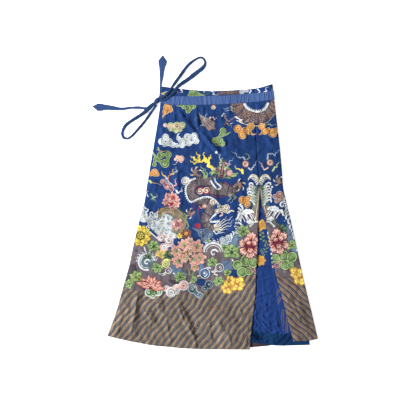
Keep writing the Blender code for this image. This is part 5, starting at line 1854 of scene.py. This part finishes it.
def make_tie_front():
    """The band over the fronts, which turns down past the right side at its end.

    From the middle to the right it lies no lower than over the facing, where it rests highest."""
    samples, shares = 260, np.linspace(-0.5, 0.5, 23)
    end_x = side_right(332) + LAY_GAP
    rest = float(front_base(190.0, tie_middle(190.0))) + PANEL_CLOTH + LAY_GAP
    rest += float(facing_lift(190.0, 320.0))
    lower, upper = [], []
    for share in np.arange(samples + 1) / samples:
        mean_x = TIE_NECK_X + (end_x - TIE_NECK_X) * share
        flare = 1 - smooth_step(TIE_NECK_X, TIE_TAPER_ENDS_X, mean_x)
        y = tie_middle(mean_x) + tie_width(mean_x) * shares
        x = TIE_NECK_X + (side_right(y) + LAY_GAP - TIE_NECK_X) * share
        z = np.maximum(front_base(x, y) + PANEL_CLOTH + LAY_GAP, rest * (x > 0))
        relief = tie_relief(x, shares) + 0.6 * flare * np.cos(math.pi * shares)
        lower.append(np.column_stack((x, y, z + 0.6 * np.maximum(0, relief - 0.4))))
        upper.append(np.column_stack((x, y, z + TIE_SHOWN + np.maximum(-0.5, relief))))
    last_low, last_high = lower[-1], upper[-1]
    for turn in np.arange(1, 7) / 6:
        z = np.full(len(shares), rest + (TIE_CLOTH + SEAM_GAP - rest) * turn)
        round_edge = min(1.0, turn * 3)
        lower.append(np.column_stack((last_low[:, :2], z)))
        outside = (last_high[:, 0] + TIE_SHOWN * round_edge, last_high[:, 1], z + 1.2 * (1 - round_edge) ** 2)
        upper.append(np.column_stack(outside))
    piece = band_object("tie_front_band", lower, upper, TIE)
    dress(piece, "tie_front")


def make_tie_back():
    lower, upper = [], []
    for share in np.linspace(0, 1, 90):
        y = tie_middle(-130 + 343 * share) + TIE_WIDTH * np.linspace(-0.5, 0.5, 9)
        start, end = side_left(y) + 2 * SEAM_GAP, side_right(y) + LAY_GAP + TIE_SHOWN
        x = start + (end - start) * share
        lower.append(np.column_stack((x, y, np.zeros(9))))
        upper.append(np.column_stack((x, y, np.full(9, TIE_SHOWN))))
    piece = band_object("tie_back_band", lower, upper, TIE)
    dress(piece, "tie_back")


# Paths of the bow: x, y, height of the underside, width, and where across it the ridge of its fold lies
UPPER_LOOP = (
    (-146.5, 316.5, 4.6, 5.8, 0.2), (-135.8, 321.2, 6.9, 6.5, 0.2), (-117.5, 336, 6.2, 7.7, 0.2),
    (-102, 356, 5.4, 8.6, 0.1), (-90, 374, 1.6, 9.7, 0), (-74, 396, 0.2, 10.2, -0.1),
    (-54.5, 422.5, 0.2, 9.5, -0.1), (-34, 440, 0.6, 7.9, 0.1), (-14.5, 449, 1, 6.3, 0.2),
    (-2.5, 442, 0.8, 6.7, 0.2), (0.5, 429, 0.4, 9, 0.1), (-8, 416, 0.2, 12.3, 0),
    (-26, 402, 0.1, 13.9, -0.1), (-52, 381.5, 0.2, 12.8, -0.1), (-72, 368, 1.6, 11.4, 0),
    (-87, 354, 5.4, 10, 0.1), (-106, 331, 6.2, 8.6, 0.2), (-124, 317, 7.2, 7.4, 0.2),
    (-136, 314.2, 7, 7.2, 0.2), (-147.5, 312.6, 4.6, 6.3, 0.2),
)
LOWER_LOOP = (
    (-156.8, 306.4, 2.6, 9.7, 0), (-169, 296.5, 2.4, 14.2, 0.1), (-186, 280, 2, 12.3, 0.1),
    (-208, 265, 0.2, 10.4, 0), (-229, 252, 0.2, 10.2, -0.1), (-247, 237, 0.4, 10, -0.1),
    (-256, 217, 0.8, 9, 0.1), (-253, 201.5, 1, 7.7, 0.2), (-240, 197.5, 0.8, 7, 0.2),
    (-226.5, 206, 0.4, 7.2, 0.1), (-213, 220.5, 0.2, 7.9, 0), (-189, 248, 0.1, 8.4, -0.1),
    (-173, 270, 0.6, 8.6, 0), (-159, 289, 2.4, 7.4, 0.1), (-149.4, 302.8, 2.8, 6.3, 0.1),
)
UPPER_TAIL = (
    (-140.4, 324.4, 0.1, 6.0, 0.0), (-139.0, 338.0, 0.1, 5.2, 0.1), (-137.8, 358.0, 0.1, 5.6, 0.1),
    (-135.0, 388.0, 0.2, 11.0, 0.0), (-133.0, 419.0, 0.3, 19.2, -0.1), (-131.2, 438.5, 0.2, 28.0, -0.1),
)
UPPER_TAIL_TIP = (-131.0, 456.6)
SIDE_TAIL = (
    (-153.0, 303.0, 0.0, 5.0, 0.0), (-180.0, 291.5, 0.0, 8.0, 0.1), (-208.0, 293.5, 0.2, 8.6, 0.1),
    (-232.0, 292.5, 0.3, 7.8, 0.0), (-262.0, 289.5, 0.2, 9.6, -0.1), (-303.0, 294.0, 0.3, 16.8, -0.1),
    (-332.5, 294.5, 0.2, 24.0, 0.0),
)
SIDE_TAIL_TIP = (-350.0, 297.0)


def strap_rings(rows, thickness, layers, seed):
    """Rings round a strap folded lengthwise in a few layers, with fine creases along it."""
    path = smooth(rows, 10)
    _, left, travelled = course(path)
    angles = np.arange(28) * 2 * math.pi / 28
    up = np.sin(angles)
    across = np.sign(np.cos(angles)) * np.abs(np.cos(angles)) ** 0.62 * 0.5
    top = np.maximum(0, up) ** 0.6
    rings = []
    for (x, y, z, width, fold), side, way in zip(path, -left, travelled):
        ridge = np.exp(-(((across - fold) / 0.16) ** 2))
        crease = 0.16 * np.cos(2 * math.pi * layers * (across + fold) + 0.02 * way)
        height = thickness * (0.5 + top * (0.24 + 0.26 * ridge + crease))
        height = np.where(up < -1e-6, thickness * (0.5 - 0.5 * np.abs(up) ** 0.6), height)
        wobble = 1 + 0.05 * math.sin(way / 6.1 + seed) + 0.03 * math.sin(way / 2.7)
        u = across * width * wobble
        rings.append(np.column_stack((x + side[0] * u, y + side[1] * u, z + height)))
    return rings


def make_strap(name, node, material, rings):
    """A strap of the bow."""
    faces = tube_faces(len(rings), len(rings[0]))
    piece = make_object(name, np.vstack(rings) * MM, faces, material)
    dress(piece, node)


def make_loop(name, node, rows, seed):
    make_strap(name, node, BOW, strap_rings(rows, 2.8, 2, seed))


def make_tail(name, node, rows, tip, seed):
    """A free end of the tie, which opens out and runs to a point."""
    rings = strap_rings(rows, 1.8, 3, seed)
    last, end = rings[-1], rows[-1]
    for share in (0.35, 0.7, 0.97):
        middle = np.array((end[0] + (tip[0] - end[0]) * share, end[1] + (tip[1] - end[1]) * share))
        ring = last.copy()
        ring[:, :2] = middle + (last[:, :2] - end[:2]) * (1 - share)
        rings.append(ring)
    make_strap(name, node, TAIL, rings)


# Middle of the knot, and the way it lies
KNOT_CENTRE = (-147.2, 315.4)
KNOT_TURN = math.radians(45)
# Turns of the tie round the knot: place along it, lean, reach, width, bulge
KNOT_WRAPS = (
    (-8.4, 0.5, 5.0, 5.6, 0.9), (-0.6, -0.5, 7.0, 12.5, 1.3), (8.0, 0.35, 5.2, 6.4, 0.9),
)


def make_knot():
    """A plump core with turns of the tie wound over it."""
    vertices, faces = [], []
    c, s = math.cos(KNOT_TURN), math.sin(KNOT_TURN)
    angles = np.arange(20) * 2 * math.pi / 20

    def add(rings, capped):
        faces.extend(tube_faces(len(rings), len(rings[0]), len(vertices), capped))
        for ring in rings:
            vertices.extend(ring)

    def to_world(u, v, w):
        return (KNOT_CENTRE[0] + u * c - v * s, KNOT_CENTRE[1] + u * s + v * c, max(0.0, w))

    core = []
    for i in range(17):
        u = 13.6 * math.cos(math.pi * (1 - (i + 0.5) / 17))
        reach = math.sqrt(max(0.02, 1 - (u / 14.2) ** 2))
        heights = [4.8 + 4.7 * reach * math.sin(a) + 0.3 * math.sin(3 * a + u) for a in angles]
        core.append([to_world(u, 6.6 * reach * math.cos(a), w) for a, w in zip(angles, heights)])
    add(core, True)
    for place, lean, reach, width, bulge in KNOT_WRAPS:
        rings = []
        for a in np.arange(40) * 2 * math.pi / 40:
            ring = []
            for b in angles:
                out = 0.9 * bulge * max(0, math.cos(b)) ** 0.5 + 0.34 * math.cos(5 * b)
                u = place + lean * 3 * math.sin(a) + width * 0.5 * math.sin(b)
                r_v, r_w = reach + out, 4.3 * reach / 6.4 + out * 0.8
                ring.append(to_world(u, r_v * math.cos(a), 4.9 + r_w * math.sin(a)))
            rings.append(ring)
        add(rings, False)
    piece = make_object("knot_wraps", np.array(vertices) * MM, faces, BOW)
    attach(piece, "root")
    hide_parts("knot")


# Floor, light and camera

# The floor lies a little under the cloth, in metres
FLOOR_Z = -0.0006


def make_floor():
    mesh = bpy.data.meshes.new("floor")
    corners = [(x, y, FLOOR_Z) for x, y in ((-4.0, -4.0), (4.0, -4.0), (4.0, 4.0), (-4.0, 4.0))]
    mesh.from_pydata(corners, [], [(0, 1, 2, 3)])
    paper = bpy.data.materials.new("pale_floor")
    paper.use_nodes = True
    tree = paper.node_tree
    fill_in(tree.links, tree.nodes["Principled BSDF"], {
        "Base Color": (0.8, 0.8, 0.8, 1.0), "Roughness": 0.9,
        "Emission Color": (1.0, 1.0, 1.0, 1.0), "Emission Strength": 0.7,
    })
    mesh.materials.append(paper)
    add_object("floor", mesh)


def add_light(name, place, size, watts):
    """A square lamp that looks at the middle of the skirt."""
    data = bpy.data.lights.new(name, "AREA")
    data.shape, data.size, data.energy = "SQUARE", size, watts
    lamp = add_object(name, data)
    lamp.location = place
    lamp.rotation_euler = (-Vector(place)).to_track_quat("-Z", "Y").to_euler()


def make_stage():
    """The floor, the studio's light and a camera that looks straight down."""
    make_floor()
    world = bpy.data.worlds.new("studio")
    world.use_nodes = True
    tree = world.node_tree
    fill_in(tree.links, tree.nodes["Background"], {"Color": (1.0, 1.0, 1.0, 1.0), "Strength": 0.22})
    scene = bpy.context.scene
    scene.world = world
    add_light("key_softbox", (-4.4, 0.3, 2.6), 1.5, 660.0)
    add_light("fill_softbox", (2.4, 1.6, 3.4), 2.4, 40.0)
    lens = bpy.data.cameras.new("camera")
    lens.sensor_width, lens.lens = 36.0, 87.0
    scene.camera = add_object("camera", lens)
    scene.camera.location = (-0.0155, 0.0068, 3.0)
    scene.view_settings.view_transform = "Standard"


make_stage()
make_back()
make_underlap()
make_fronts()
make_tie_back()
make_tie_front()
make_knot()
make_loop("upper_loop_strap", "upper_loop", UPPER_LOOP, 1)
make_loop("lower_loop_strap", "lower_loop", LOWER_LOOP, 2)
make_tail("upper_tail_strap", "upper_tail", UPPER_TAIL, UPPER_TAIL_TIP, 3)
make_tail("side_tail_strap", "side_tail", SIDE_TAIL, SIDE_TAIL_TIP, 4)
